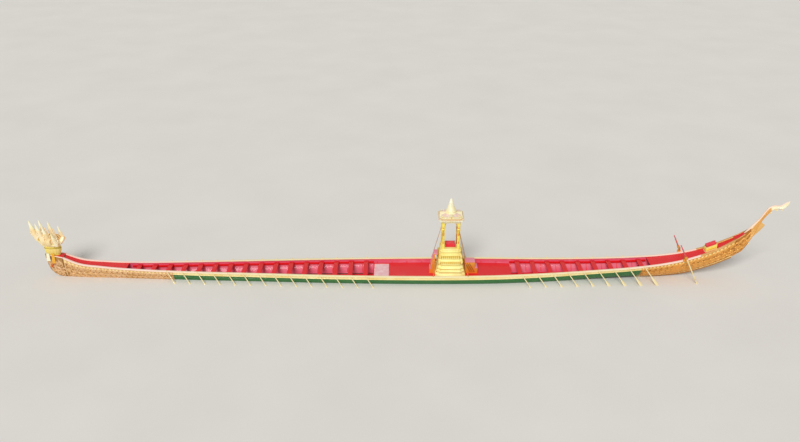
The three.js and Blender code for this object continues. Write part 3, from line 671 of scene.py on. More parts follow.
def turned(name: str, x: float, y: float, levels: Table, count: int = 20, flat: float = 1) -> Piece:
    """A form round an upright line, through its levels of height and radius.

    Args:
        name: The piece's name.
        x: The line's x.
        y: The line's y.
        levels: The levels, from one end to the other.
        count: The faces round it.
        flat: Its width across, as a share of its length.

    Returns:
        The form.
    """
    return loft(name, [oval((x, y, z), (reach, 0, 0), (0, reach * flat, 0), count) for z, reach in levels])


def tapered(name: str, stations: Sequence[tuple[Row, Row, Row]], count: int = 10) -> Piece:
    """A round form through oval rings, each given by its centre and two half-axes."""
    return loft(name, [oval(centre, first, second, count) for centre, first, second in stations])


def bead(depth: float = 1) -> Piece:
    """A small boss of radius 1, flattened along Z to a share of its depth."""
    piece = added("bead", bpy.ops.mesh.primitive_uv_sphere_add, segments=10, ring_count=6, radius=1)
    piece.data.transform(sized(1, 1, depth))
    return piece


def ring(thickness: float) -> Piece:
    """A round ring of radius 1 about Z."""
    return added("ring", bpy.ops.mesh.primitive_torus_add, major_segments=24, minor_segments=8,
        major_radius=1, minor_radius=thickness)


def bored(piece: Piece, centre: Row, radius: float, turn: Row = (0, 0, 0), depth: float = 0.2) -> Piece:
    """Cuts a round hole through a piece."""
    bore = added("bore", bpy.ops.mesh.primitive_cylinder_add, vertices=32, radius=radius, depth=depth,
        location=centre, rotation=turn)
    modify(piece, "BOOLEAN", operation="DIFFERENCE", object=bore, solver="EXACT")
    bpy.data.objects.remove(bore)
    return piece


# Hull form


@dataclass(frozen=True)
class Section:
    """A cross-section of the hull, or many: heights of gunwale and keel, half-breadth and fullness."""

    sheer: Values
    beam: Values
    keel: Values
    power: Values

    @property
    def rim(self) -> Values:
        """The height of the planking's upper edge, under the gunwale cap."""
        return self.sheer - 0.0303


STATIONS = (
    (-10.3, 0.69, 0.15, -0.04, 1.5),
    (-9.9, 0.52, 0.176, -0.09, 1.5),
    (-9.15, 0.415, 0.208, -0.12, 1.5),
    (-8, 0.35, 0.276, -0.145, 1.6),
    (-6.8, 0.328, 0.35, -0.16, 1.8),
    (-4.4, 0.318, 0.472, -0.178, 1.95),
    (-2.2, 0.311, 0.58, -0.188, 2.05),
    (0, 0.31, 0.64, -0.19, 2.1),
    (1.3, 0.312, 0.645, -0.19, 2.1),
    (2.6, 0.32, 0.618, -0.184, 2.1),
    (4, 0.345, 0.54, -0.145, 2),
    (5.6, 0.405, 0.442, -0.055, 1.7),
    (6.9, 0.485, 0.37, 0.01, 1.55),
    (7.7, 0.57, 0.315, 0.055, 1.5),
    (8.3, 0.68, 0.266, 0.13, 1.5),
    (8.9, 0.86, 0.22, 0.29, 1.5),
    (9.4, 1.075, 0.172, 0.48, 1.5),
    (9.75, 1.265, 0.125, 0.65, 1.5),
)


def swell(share: Values, power: Values) -> Values:
    """How wide a section is at a share of its height, from 0 at the keel to 1 at the rim."""
    return (1 - (1 - np.clip(share, 0, 1)) ** power) ** (1 / power)


class HullForm:
    """The hull's shape as smooth curves through its stations, outside and inside its planking."""

    SKIN = 0.034
    BOTTOM = 0.045
    STEP = 0.12

    def __init__(self) -> None:
        """Works out the slopes at the stations."""
        self.knots = np.array(STATIONS)
        self.slopes = np.gradient(self.knots, self.knots[:, 0], axis=0)

    def section(self, x: Values) -> Section:
        """The cross-section at one x or at many."""
        knots = self.knots
        low = np.clip(np.searchsorted(knots[:, 0], x, "right") - 1, 0, len(knots) - 2)
        start, end = knots[low], knots[low + 1]
        width = end[..., :1] - start[..., :1]
        t = (np.expand_dims(np.clip(x, knots[0, 0], knots[-1, 0]), -1) - start[..., :1]) / width
        curve = hermite(t, start, end, self.slopes[low] * width, self.slopes[low + 1] * width)
        return Section(*np.moveaxis(curve, -1, 0)[1:])

    def sheer(self, x: float) -> float:
        """The height of the gunwale at one x."""
        return float(self.section(x).sheer)

    def tall(self, x: float) -> float:
        """The height of the planking at one x."""
        section = self.section(x)
        return float(section.rim - section.keel)

    def steps(self, x0: float, x1: float) -> np.ndarray:
        """Evenly spaced x from one end of a length to the other."""
        return np.linspace(x0, x1, max(3, round((x1 - x0) / self.STEP) + 1))

    def half(self, x: Values, z: Values, skin: float = SKIN, lift: float = BOTTOM) -> Values:
        """Half the width at a height, inside the planking or, with no skin and no lift, over it."""
        section = self.section(x)
        bottom = section.keel + lift
        return (section.beam - skin) * swell((z - bottom) / (section.rim - bottom), section.power)

    def floor_top(self, x: Values) -> Values:
        """The height of the floorboards' top."""
        section = self.section(x)
        bottom = section.keel + self.BOTTOM
        return bottom + 0.16 * (section.rim - bottom)

    def face(self, side: Side, inner: bool = False) -> Warp:
        """A way onto one face of the planking.

        Args:
            side: The side of the barge.
            inner: Whether it is the inside face.

        Returns:
            The warp from x, share of height and height off the face.
        """
        inset, lift, outward = (self.SKIN, self.BOTTOM, -1) if inner else (0, 0, 1)

        def bent(points: np.ndarray) -> np.ndarray:
            """Bends points onto the face."""
            section = self.section(points[:, 0])
            bottom, width = section.keel + lift, section.beam - inset
            height = section.rim - bottom
            share = np.clip(points[:, 1], 0, 1)
            below, over = np.clip(share - 0.01, 0.001, 1), np.clip(share + 0.01, 0, 1)
            slope = width * (swell(over, section.power) - swell(below, section.power)) / (over - below)
            length = np.hypot(height, slope)
            proud = points[:, 2] * outward
            y = width * swell(share, section.power) + proud * height / length
            z = bottom + points[:, 1] * height - proud * slope / length
            return np.stack([points[:, 0], side * y, z], axis=1)

        return bent

    def strip(self, name: str, x0: float, x1: float, profile: Table, warp: Warp) -> Piece:
        """A strip along the hull from x0 to x1, by its profile of share of height and height off it."""
        return loft(name, [warp(np.array([(x, *point) for point in profile])) for x in self.steps(x0, x1)])

    def boards(self, name: str, x0: float, x1: float, top: Callable[[Values], Values], thickness: float,
            count: int) -> Piece:
        """Boards laid lengthwise side by side inside the planking, with a groove at each joint.

        Args:
            name: The piece's name.
            x0: The forward end.
            x1: The after end.
            top: The height of the boards' top at each x.
            thickness: The boards' thickness.
            count: How many lie side by side.

        Returns:
            The boards.
        """
        xs = self.steps(x0, x1)
        height = top(xs)
        half = self.half(xs, height - thickness) - 0.002
        groove = ((-0.5, -0.005), (-0.485, -0.003), (-0.46, 0), (0.46, 0), (0.485, -0.003), (0.5, -0.005))
        across = [((i + 0.5 + part) / count * 2 - 1, dip) for i in range(count) for part, dip in groove]
        rows = []
        for x, z, reach in zip(xs, height, half):
            face = [(x, share * reach, z + dip) for share, dip in across]
            rows.append(face + [(x, reach, z - thickness), (x, -reach, z - thickness)])
        return loft(name, rows)


FORM = HullForm()


def plank_profile(edges: Row, back: float) -> Table:
    """Planks one over the other, slightly crowned, with a V-shaped seam at each joint.

    Args:
        edges: The planks' edges, as shares of the height.
        back: The planks' thickness.

    Returns:
        The closed profile: share of height and height off the surface.
    """
    face = []
    for low, high in zip(edges, edges[1:]):
        face += [(low + 0.002, -0.005), (low + 0.01, 0)]
        face += [(low + (high - low) * part, 0.0015) for part in (0.3, 0.5, 0.7)]
        face += [(high - 0.01, 0), (high - 0.002, -0.005)]
    return face + [(share, -back) for share in np.linspace(edges[-1], edges[0], 8)]


def scroll() -> Piece:
    """A carved scroll 1 across: a rib that curls in and swells at its eye, its back on the XY plane."""
    rows = []
    for step in np.linspace(0, 1, 15):
        angle = 2 * pi * 1.35 * step
        out = Vector((cos(angle), sin(angle), 0))
        width = 0.035 + 0.085 * sin(pi * min(1, step * 1.1 + 0.12))
        rows.append([out * (0.5 - 0.4 * step + width * across) + Vector((0, 0, width * 0.9 * up))
            for across, up in ((-1, 0), (-0.5, 0.8), (0, 1), (0.5, 0.8), (1, 0))])
    return loft("scroll", rows)


@dataclass
class Hull(Maker):
    """The planking, its carving and sheer band, the gunwales with their paddles, and the seats inside."""

    joints: Row = (-10.3, -7, -2.2, 2.6, 7, 9.75)
    names: tuple[str, ...] = ("bow", "fore", "mid", "aft", "stern")
    plank_edges: Row = (0.16, 0.34, 0.5, 0.66, 0.8)
    band: Row = (0.8, 1)
    band_proud: float = 0.012
    deck_ends: Row = (-1.02, 3.15)
    row_pitch: float = 0.458
    fore_row: float = -1.25
    aft_row: float = 3.386
    fore_rows: int = 16
    fore_paddles: int = 14
    aft_rows: int = 9
    thwart: Row = (0.14, 0.032, 0.07)

    def build(self) -> None:
        """Builds and dresses everything on the hull."""
        self.bottoms()
        for side in Side:
            self.planking(side)
            self.carving(side)
            self.gunwales(side)
            self.oar_block(side)
            self.paddles(side)
        self.decks()
        self.seats()
        self.carpet()

    def bottoms(self) -> None:
        """The bottom planking with its keel, in four lengths."""
        outer, inner = (0.025, 0.045, 0.075, 0.12, 0.16), (0.025, 0.075, 0.16)
        runs = (("bow", -10.3, -7, BOW_GOLD), ("mid", -7, 2.6, DARK_GREEN), ("aft", 2.6, 7, DARK_GREEN),
            ("stern", 7, 9.75, STERN_GOLD))
        for name, x0, x1, finish in runs:
            rows = []
            for x in FORM.steps(x0, x1):
                port, starboard, lining, wall = (FORM.face(side, inside)(np.array([(x, share, 0)
                    for share in shares])) for side, inside, shares in ((Side.PORT, False, outer[::-1]),
                    (Side.STARBOARD, False, outer), (Side.STARBOARD, True, (*inner[::-1], 0)),
                    (Side.PORT, True, inner)))
                root, keel = min(0.026, 0.8 * starboard[0][1]), FORM.section(x).keel
                lip = [(x, root * share, keel - drop) for share, drop in ((-1, 0), (-0.8, 0.034),
                    (-0.6, 0.042), (0.6, 0.042), (0.8, 0.034), (1, 0))]
                rows.append([*port, *lip, *starboard, *lining, *wall])
            self.dress(loft(f"bottom_{name}", rows), finish, [f"bottom_planks_{name}"])

    def planking(self, side: Side) -> None:
        """One side's outer planks, lining and ribs, and its sheer band with a row of carved lozenges."""
        outer, inner = FORM.face(side), FORM.face(side, True)
        lining = [(share, 0) for share in np.linspace(0.16, 1, 12)]
        lining += [(share, -0.012) for share in np.linspace(1, 0.16, 8)]
        low, high = self.band
        bead = [(low, -0.01), (low, 0.6), (low + 0.01, 1), (low + 0.03, 1), (low + 0.04, 0.4),
            (high - 0.07, 0.4), (high - 0.05, 1), (high - 0.015, 1), (high, 0.6), (high, -0.01)]
        bead = [(share, rise * self.band_proud if rise > 0 else rise) for share, rise in bead]
        for name, x0, x1 in zip(self.names, self.joints, self.joints[1:]):
            node, end = [f"side_planks_{name}_{side}"], f"{name}_{side}"
            ground, raised = {"bow": (BOW_GOLD, BOW_RELIEF), "stern": (STERN_GOLD, STERN_RELIEF)}.get(name,
                (GREEN_HULL, GOLD_BAND))
            for kind, profile, warp, finish in (("planks", plank_profile(self.plank_edges, 0.014), outer,
                    ground), ("lining", lining, inner, ROSE_BOARDS), ("sheer_band", bead, outer, raised)):
                self.dress(FORM.strip(f"{kind}_{end}", x0, x1, profile, warp), finish, node)
            count = round((x1 - x0) / 0.11)
            places = [at(x0 + (i + 0.5) * (x1 - x0) / count, (low + high) / 2, 0.005)
                @ sized(0.036, 0.06, 0.007) for i in range(count)]
            motif = added("lozenge", bpy.ops.mesh.primitive_uv_sphere_add, segments=8, ring_count=4,
                radius=1)
            self.spread(f"band_motifs_{end}", motif, places, GOLD_PALE, node, warp=outer)
        rib = smoother(added("rib", bpy.ops.mesh.primitive_cube_add, size=1), 2, "SIMPLE")
        places = [at(x, 0.52, 0.004) @ sized(0.022, 0.6, 0.016) for x in np.arange(-8.7, 7.9,
            self.row_pitch)]
        self.spread(f"ribs_{side}", rib, places, RED_BOARDS, warp=inner)

    def carving(self, side: Side) -> None:
        """Scrolls and flames in relief along both carved ends, with moulding and collar; the stern's pale
        gold lower moulding is a painted highlight.
        """
        warp = FORM.face(side)
        moulding = [(0.03, -0.004), (0.03, 0.008), (0.045, 0.013), (0.065, 0.013), (0.08, 0.008),
            (0.08, -0.004)]
        band = [(0.16, -0.005), (0.16, 0.014), (0.5, 0.016), (0.8, 0.014), (0.8, -0.005)]
        # At the stern the lower moulding is pale gold, a painted highlight along the hull's lower edge.
        runs = (("bow", -10.2, -7.05, -1, BOW_RELIEF, BOW_RELIEF, -10.299, -10.25, BOW_RELIEF),
            ("stern", 7.05, 9.7, 1, STERN_RELIEF, GOLD_PALE, 7.94, 8.15, ORANGE_GOLD))
        for name, x0, x1, heading, finish, lower, x2, x3, upper in runs:
            end, node = f"{name}_{side}", [f"side_planks_{name}_{side}"]
            self.dress(relief(f"relief_{end}", x0, x1, heading, FORM.tall, warp), finish, node)
            edge = FORM.strip(f"lower_moulding_{end}", x0 - 0.1, x1 + 0.05, moulding, warp)
            self.dress(edge, lower, [f"bottom_planks_{name}"])
            self.dress(FORM.strip(f"collar_{end}", x2, x3, band, warp), upper, node)

    def gunwales(self, side: Side) -> None:
        """One side's gunwale cap, in four lengths."""
        fore, aft = self.deck_ends
        lengths = (("fore", "fore", self.joints[0], fore, RIM_PAINT), ("mid", "mid", fore, aft, RIM_PAINT),
            ("aft", "aft", aft, 8.75, RIM_PAINT), ("stern", "aft", 8.75, self.joints[-1], TAN_GOLD))
        outline = [(0.026, -0.03), (0.026, -0.012), (0.022, -0.004), (0.014, 0), (-0.036, 0),
            (-0.046, -0.004), (-0.05, -0.012), (-0.05, -0.03)]
        for name, node, x0, x1, finish in lengths:
            sections = [(x, FORM.section(x)) for x in FORM.steps(x0, x1)]
            rows = [[(x, side * (section.beam + out), section.sheer + up) for out, up in outline]
                for x, section in sections]
            self.dress(loft(f"cap_{name}_{side}", rows), finish, [f"gunwale_{node}_{side}"])

    def oar_block(self, side: Side) -> None:
        """The block on a corbel that the oar's swivel turns on."""
        x, half, top = 8.27, 0.052, 0.725
        root = float(FORM.section(x).beam) + 0.018
        body = block("oar_block", (x - half, side * root, 0.655), (x + half, side * 0.342, top), 0.008, 3)
        corbel = block("corbel", (x - half * 0.7, side * (root + 0.01), 0.64),
            (x + half * 0.7, side * 0.332, 0.662), 0.006, 3)
        piece = merged(f"oar_block_{side}", [body, corbel])
        bored(piece, (x, side * 0.3, top), 0.0145, depth=0.11)
        self.dress(piece, ORANGE_GOLD, [f"gunwale_aft_{side}"])

    def rows_of(self, name: str, count: int) -> list[float]:
        """The x of each row of seats, fore or aft, from the middle deck outwards."""
        start, pitch = (self.fore_row, -self.row_pitch) if name == "fore" else (self.aft_row, self.row_pitch)
        return [start + i * pitch for i in range(count)]

    def paddles(self, side: Side) -> None:
        """The paddles that lie across one gunwale, one for each seat that has one."""
        stations = [(0, 0.004, 0.004), (-0.004, 0.016, 0.016), (-0.016, 0.019, 0.019), (-0.03, 0.015, 0.015),
            (-0.05, 0.013, 0.013), (-0.25, 0.0145, 0.0145), (-0.38, 0.0145, 0.014), (-0.43, 0.022, 0.012),
            (-0.5, 0.042, 0.01), (-0.58, 0.05, 0.0085), (-0.66, 0.048, 0.007), (-0.72, 0.028, 0.005),
            (-0.748, 0.01, 0.004), (-0.757, 0.002, 0.002)]
        direction = Vector((0.573, 0.366 * side, -0.732)).normalized()
        turn = Vector((0, -1, 0)).rotation_difference(direction).to_matrix().to_4x4()
        for name, count in (("fore", self.fore_paddles), ("aft", self.aft_rows)):
            places = [at(x, side * (FORM.section(x).beam + 0.007), FORM.sheer(x) + 0.018) @ turn
                for x in self.rows_of(name, count)]
            paddle = tapered("paddle", [((0, y, 0), (wide, 0, 0), (0, 0, thick))
                for y, wide, thick in stations], 8)
            self.spread(f"paddles_{name}_{side}", paddle, places, PALE_PADDLE, [f"gunwale_{name}_{side}"],
                SOFT)

    def decks(self) -> None:
        """The floorboards, the decks and the bulkheads under the middle one."""
        fore, aft = self.deck_ends
        ramp = [aft + GAP, 7.7]

        def under_sheer(x: Values) -> Values:
            """The end decks' height."""
            return FORM.section(x).sheer - DECK_DROP

        for name, x0, x1, top, thickness, count in (("floorboards_fore", -9, fore - GAP, FORM.floor_top,
                0.018, 8), ("floorboards_aft", *ramp, lambda x: np.interp(x, ramp,
                FORM.floor_top(np.array(ramp))), 0.018, 8), ("bow_deck", self.joints[0], -8.45, under_sheer,
                0.024, 6), ("stern_deck", 7.29, self.joints[-1], under_sheer, 0.024, 6),
                ("mid_deck", fore, aft, lambda x: np.full_like(x, 0.16), 0.028, 14)):
            self.dress(FORM.boards(f"{name}_boards", x0, x1, top, thickness, count), RED_BOARDS, [name])
        for name, x in (("fore", fore + 0.013), ("aft", aft - 0.013)):
            levels = np.linspace(float(FORM.section(x).keel) + 0.05, 0.13, 8)
            wall = list(zip(FORM.half(np.full_like(levels, x), levels) - 0.002, levels))
            rows = [[*((x + end, -reach, z) for reach, z in wall[::-1]),
                *((x + end, reach, z) for reach, z in wall)] for end in (-0.013, 0.013)]
            self.dress(rounded(loft(f"bulkhead_{name}", rows), 0.004), RED_BOARDS, ["mid_deck"])

    def seats(self) -> None:
        """The thwarts across the hull, and the risers that they stand on."""
        depth, thickness, drop = self.thwart
        for name, count in (("fore", self.fore_rows), ("aft", self.aft_rows)):
            nodes = [f"thwarts_{name}_{i}" for i in (1, 2, 3)]
            rows, places = self.rows_of(name, count), []
            for x in rows:
                top = FORM.sheer(x) - drop
                half = min(float(FORM.half(x + end, top - thickness)) for end in (-depth / 2, depth / 2))
                places.append(at(x, 0, top - thickness / 2) @ sized(1, 2 * half - 0.004, 1))
            board = block("thwart", (-depth / 2, -0.5, -thickness / 2), (depth / 2, 0.5, thickness / 2),
                0.008, 3)
            self.spread(f"seats_{name}", board, places, RED_BOARDS, nodes)
            for side in Side:
                lines = []
                for x in FORM.steps(min(rows) - self.row_pitch / 2, max(rows) + self.row_pitch / 2):
                    sheer = FORM.sheer(x)
                    outer, upper = (float(FORM.half(x, sheer - low)) - 0.001 for low in (0.16, 0.103))
                    lines.append([(x, side * y, sheer - low) for y, low in ((outer, 0.16), (upper, 0.1035),
                        (upper - 0.024, 0.1035), (outer - 0.03, 0.112), (outer - 0.03, 0.155))])
                self.dress(loft(f"riser_{name}_{side}", lines), RED_BOARDS, nodes)

    def carpet(self) -> None:
        """The pale carpet across the fore part of the middle deck, slightly waved."""
        fore, aft, half = -0.99, -0.55, 0.47
        rows = [[(x, y, 0.1645 + 0.0025 * sin(9 * x + 5 * y) ** 2) for y in np.linspace(-half, half, 36)]
            for x in np.linspace(fore, aft, 18)]
        piece = self.dress(cloth("carpet", rows, 0.004, -1), CARPET_CLOTH)


class SolidEnd:
    """A solid end of the hull, beyond the planking, through rows of x, keel, top and half-breadth."""

    SHARES = np.array([0.03, 0.08, 0.16, 0.28, 0.42, 0.6, 0.8, 0.93, 1])

    def __init__(self, table: Table) -> None:
        """Smooths the rows into a curve that runs from the lowest x up."""
        curve = eased(table, 48)
        self.curve = curve[np.argsort(curve[:, 0])]

    def sizes(self, x: Values) -> list[Values]:
        """The keel, the top and the half-breadth at one x or at many."""
        return [np.interp(x, self.curve[:, 0], self.curve[:, i]) for i in (1, 2, 3)]

    def tall(self, x: float) -> float:
        """The height of the side at one x."""
        keel, top, _ = self.sizes(x)
        return float(top - keel)

    def solid(self, name: str) -> Piece:
        """The end itself."""
        rows = []
        for x, keel, top, beam in self.curve[::2]:
            side = list(zip(beam * swell(self.SHARES, 1.5), keel + self.SHARES * (top - keel)))
            rows.append([(x, 0, keel), *((x, y, z) for y, z in side), *((x, -y, z) for y, z in side[::-1])])
        return loft(name, rows)

    def warp(self, side: Side) -> Warp:
        """A warp onto its side from x, share of height and height off it."""

        def bent(points: np.ndarray) -> np.ndarray:
            """Bends points onto the side."""
            keel, top, beam = self.sizes(points[:, 0])
            share = np.clip(points[:, 1], 0.02, 0.98)
            y = beam * swell(share, 1.5) + points[:, 2] * 0.8
            return np.stack([points[:, 0], side * y, keel + share * (top - keel)], axis=1)

        return bent

    def trims(self, name: str, x0: float, x1: float) -> tuple[Piece, Piece]:
        """The rails along both upper edges between two x, and the board let in between them."""
        rails, board = [], []
        for x in np.linspace(x0, x1, 10):
            _, top, beam = map(float, self.sizes(x))
            rails.append((x, beam - 0.006, top - 0.002))
            half = max(0.008, beam - 0.03)
            board.append([(x, y, top + z) for y, z in ((-half, -0.006), (half, -0.006), (half, 0.002),
                (-half, 0.002))])
        tubes = [tapered("rail", [((x, side * y, z), (0, 0.02, 0), (0, 0, 0.014)) for x, y, z in rails])
            for side in Side]
        return merged(f"{name}_rails", tubes), loft(f"{name}_board", board)

    def build(self, maker: Maker, name: str, node: str, heading: int, carved: Row, railed: Row,
            *finishes: Finish) -> None:
        """Builds and dresses the end: the solid, its carving and its rails with their red board."""
        ground, raised, edge = finishes
        maker.dress(self.solid(name), ground, [node])
        for side in Side:
            carving = relief(f"{name}_relief_{side}", *carved, heading, self.tall, self.warp(side))
            maker.dress(carving, raised, [node])
        for piece, finish in zip(self.trims(name, *railed), (edge, RED_BOARDS)):
            maker.dress(piece, finish, [node])


def relief(name: str, x0: float, x1: float, heading: int, tall: Callable[[float], float],
        warp: Warp) -> Piece:
    """Three rows of scrolls with flames between them, carved along a side.

    Args:
        name: The piece's name.
        x0: Where they start.
        x1: Where they end.
        heading: Which way along x the flames point.
        tall: The side's height at each x.
        warp: Bends them onto the side.

    Returns:
        The carving.
    """
    count = max(1, round((x1 - x0) / 0.17))
    curls, leaves = [], []
    for i in range(count):
        x = x0 + (i + 0.5) * (x1 - x0) / count
        high = tall(x)
        size = 0.19 * min(1, high / 0.5)
        for share, lift in ((0.15, -1), (0.4, 1), (0.66, -1)):
            frame = at(x + 0.045 * lift, share, 0) @ sized(1, 1 / high, 1)
            curls.append(frame @ at(0, 0, 0, 140 * lift + 30 * i) @ sized(size, size, 0.16))
            leaves.append(frame @ at(-0.07 * lift, 0, 0, -heading * (62 + 16 * lift))
                @ sized(0.19, 0.19, 0.17))
    return merged(name, [repeated("curls", scroll(), curls, warp), repeated("leaves", flame(), leaves,
        warp)])


# Bow


@dataclass(frozen=True)
class HeadPlace:
    """Where one serpent head stands: its crest's tip, its size and its turn outwards in degrees."""

    name: str
    tip: tuple[float, float, float]
    size: float
    turn: float
    root: tuple[float, float, float]

    def matrix(self, sign: int) -> Matrix:
        """From a head's own space, measured from the crest's tip, to the barge's."""
        x, y, z = self.tip
        return at(x, sign * y, z, -sign * self.turn, self.size)


@dataclass
class Figurehead(Maker):
    """The solid stem, the neck with its sash, the hood and the seven crested serpent heads."""

    prow: Table = ((-10.3003, -0.04, 0.69, 0.162), (-10.45, -0.008, 0.712, 0.146),
        (-10.6, 0.045, 0.726, 0.118), (-10.72, 0.15, 0.736, 0.088), (-10.8, 0.3, 0.742, 0.062),
        (-10.85, 0.52, 0.746, 0.038), (-10.868, 0.69, 0.748, 0.018))
    neck_x: float = -10.61
    neck_half: Row = (0.245, 0.112)
    neck_span: Row = (0.64, 1.01)
    sash_span: Row = (0.775, 0.965)
    heads: tuple[HeadPlace, ...] = (HeadPlace("centre", (-11.194, 0, 1.842), 1, 0, (-10.79, 0, 1.02)),
        HeadPlace("inner", (-10.96, 0.128, 1.8), 0.86, 10, (-10.71, 0.045, 1.02)),
        HeadPlace("middle", (-10.736, 0.214, 1.716), 0.78, 18, (-10.59, 0.08, 1.02)),
        HeadPlace("outer", (-10.48, 0.282, 1.552), 0.7, 26, (-10.47, 0.085, 1.02)))
    ribs: Table = ((-10.852, -10.7, 0, -11.06, -10.9, 0, 1.33), (-10.79, -10.62, 0.05, -10.85, -10.68, 0.12,
        1.35), (-10.66, -10.5, 0.09, -10.64, -10.48, 0.205, 1.32), (-10.53, -10.39, 0.092, -10.4, -10.25,
        0.27, 1.21))

    def build(self) -> None:
        """Builds and dresses the bow figure."""
        self.stem()
        self.sash()
        self.hood()
        self.crests()

    def each(self) -> Iterator[tuple[HeadPlace, Side, str]]:
        """Every head's place, side and CAD node. The middle one counts once."""
        for place in self.heads:
            for side in Side:
                if place.name != "centre":
                    yield place, side, f"naga_head_{place.name}_{side}"
                elif side is Side.PORT:
                    yield place, side, "naga_head_centre"

    def stem(self) -> None:
        """The solid prow, and the ringed neck over it."""
        SolidEnd(self.prow).build(self, "prow", "stem", -1, (-10.78, -10.31), (-10.8, -10.305), BOW_GOLD,
            BOW_RELIEF, RIM_PAINT)
        low, high = self.neck_span
        levels = ((low, 0.76), (0.72, 0.76), (0.735, 0.82), (0.75, 0.83), (0.765, 0.82), (0.775, 0.75),
            (0.87, 0.82), (0.96, 0.92), (0.97, 1), (0.985, 1.03), (high, 1))
        length, width = self.neck_half
        neck = turned("neck", self.neck_x, 0, [(z, length * grow) for z, grow in levels], 32, width / length)
        self.dress(neck, YELLOW_WOOD, ["stem"])

    def sash(self) -> None:
        """The pleated cloth round the neck, with hanging ends on both sides and a tassel."""
        low, high = self.sash_span
        length, width = self.neck_half[0] + 0.006, self.neck_half[1] + 0.006
        rows = []
        for step in np.linspace(0, 1, 9):
            ring, slim = [], 1 - 0.2 * step
            for angle in np.linspace(0, 2 * pi, 132, endpoint=False):
                pleat = 0.006 * sin(angle * 22 + 3 * sin(3 * angle)) * (0.4 + step * 0.6)
                off = 0.008 * sin(pi * step) + 0.005 + pleat
                ring.append((self.neck_x + (length * slim + off) * cos(angle), (width * slim + off)
                    * sin(angle), high - 0.006 - step * (high - low - 0.012)))
            rows.append(ring)
        wrap = self.dress(cloth("sash", rows, 0.003, wrap=True), YELLOW_CLOTH, ["neck_sash"])
        around = pi * (3 * (length + width) - sqrt((3 * length + width) * (length + 3 * width)))
        around * 1.04
        levels = ((0.01, 0.006), (0, 0.016), (-0.012, 0.02), (-0.024, 0.013), (-0.032, 0.018),
            (-0.07, 0.026), (-0.1, 0.03), (-0.104, 0.022))
        levels = [(0.475 + z, reach * 1.2) for z, reach in levels]
        for side in Side:
            self.hanging(f"sash_pale_{side}", side, -10.74, 0.25, 0.13, WHITE_CLOTH)
            self.hanging(f"sash_orange_{side}", side, -10.585, 0.32, 0.11, ORANGE_CLOTH)
            self.dress(turned(f"tassel_{side}", -10.67, side * 0.142, levels), TASSEL_CLOTH)

    def hanging(self, name: str, side: Side, x: float, drop: float, wide: float, finish: Woven) -> None:
        """One end of the sash in folds, by its middle x, its drop and its flat width."""
        rows = []
        for step in np.linspace(0, 1, 12):
            row = []
            for part in np.linspace(-0.5, 0.5, 17):
                place = x + part * wide * (0.72 + 0.2 * step)
                depth = self.neck_half[1] * sqrt(max(0, 1 - ((place - self.neck_x) / 0.25) ** 2))
                fold = 0.006 * sin(part * 22) * (0.5 + 0.5 * step)
                row.append((place, side * (max(depth, 0.09) + 0.03 + fold + 0.012 * step), self.sash_span[0]
                    + 0.04 - step * drop))
            rows.append(row)
        piece = self.dress(cloth(name, rows, 0.0025), finish)

    def rib_ring(self, values: Row) -> Table:
        """One cross-section of the hood, rounded, from a rib's sizes."""
        root_front, root_back, root_y, crown_front, crown_back, crown_y, crown = values
        foot = self.neck_span[1] + GAP
        corners = [(root_front, root_y, foot), (root_back, root_y, foot),
            (crown_back, crown_y, crown - 0.06), ((crown_back + crown_front) / 2, crown_y, crown),
            (crown_front, crown_y, crown - 0.09)]
        ring = []
        for start, end in zip(corners, corners[1:] + corners[:1]):
            ring += [tuple(a + (b - a) * share for a, b in zip(start, end)) for share in (0.04, 0.35, 0.65)]
        return ring

    def hood(self) -> None:
        """The hood that joins the heads, a ridge with scutes up to each, and a medallion on each side."""
        node = ["naga_hood"]
        knots = [(*rib[:2], -rib[2], *rib[3:5], -rib[5], rib[6])
            for rib in self.ribs[:0:-1]] + list(self.ribs)
        hood = loft("hood", [self.rib_ring(values) for values in eased(knots, 31)])
        self.dress(smoother(hood), GOLD_SCALES, node, ROUND)
        ridges, scutes, leaves = [], [], []
        for place, side, _ in self.each():
            size = place.size
            jaw = place.matrix(side) @ Vector((0.16, 0, -0.5))
            base = Vector((place.root[0], side * place.root[1], place.root[2]))
            middle = base.lerp(jaw, 0.5) + Vector((0, side * 0.03, 0)) * (place.name != "centre")
            knots = ((*base, 0.1, 0.036), (*middle, 0.118, 0.052), (*jaw, 0.1 * size, 0.05 * size))
            line = [((x, y, z), (deep, 0, 0.02), (0, wide, 0)) for x, y, z, deep, wide in eased(knots, 14)]
            ridges.append(tapered("ridge", line, 14))
            for (x, y, z), (deep, _, _), _ in line[1:-1]:
                scutes.append(at(x - deep * 0.92, y, z, 17, axis="Y") @ sized(0.022, 0.036 * size, 0.018))
                leaves.append(at(x + deep * 0.8, y, z, 90, axis="X") @ at(0, 0, 0, -38, 0.09 * size)
                    @ at(0, 0, -0.06))
        self.dress(merged("neck_ridges", ridges), GOLD_HEAD, node, ROUND)
        self.spread("scutes", bead(), scutes, GOLD_PALE, node, ROUND)
        self.spread("neck_flames", flame(double=True), leaves[::2], GOLD_RELIEF, node)
        boss = ((0, 0.09), (0.006, 0.09), (0.012, 0.08), (0.008, 0.074), (0.014, 0.068), (0.02, 0.058),
            (0.018, 0.05), (0.03, 0.03), (0.034, 0.008))
        places = [at(-10.95, side * 0.042, 1.25, side * -84, 0.6, "X") for side in Side]
        self.spread("medallions", turned("medallion", 0, 0, boss, 32), places, GOLD_LOTUS, node)

    def crests(self) -> None:
        """The serpent heads: crest, pale tip, jaws, mouth, eyes, fangs and the flames behind them."""

        def form(name: str, rows: Table, deep: bool = False) -> Piece:
            """A round form through rows of u, v and two half-sizes, set out along v or along u."""
            return tapered(name, [((u, 0, v), (size, 0, 0) if deep else (0, 0, size), (0, wide, 0))
                for u, v, size, wide in rows], 14)

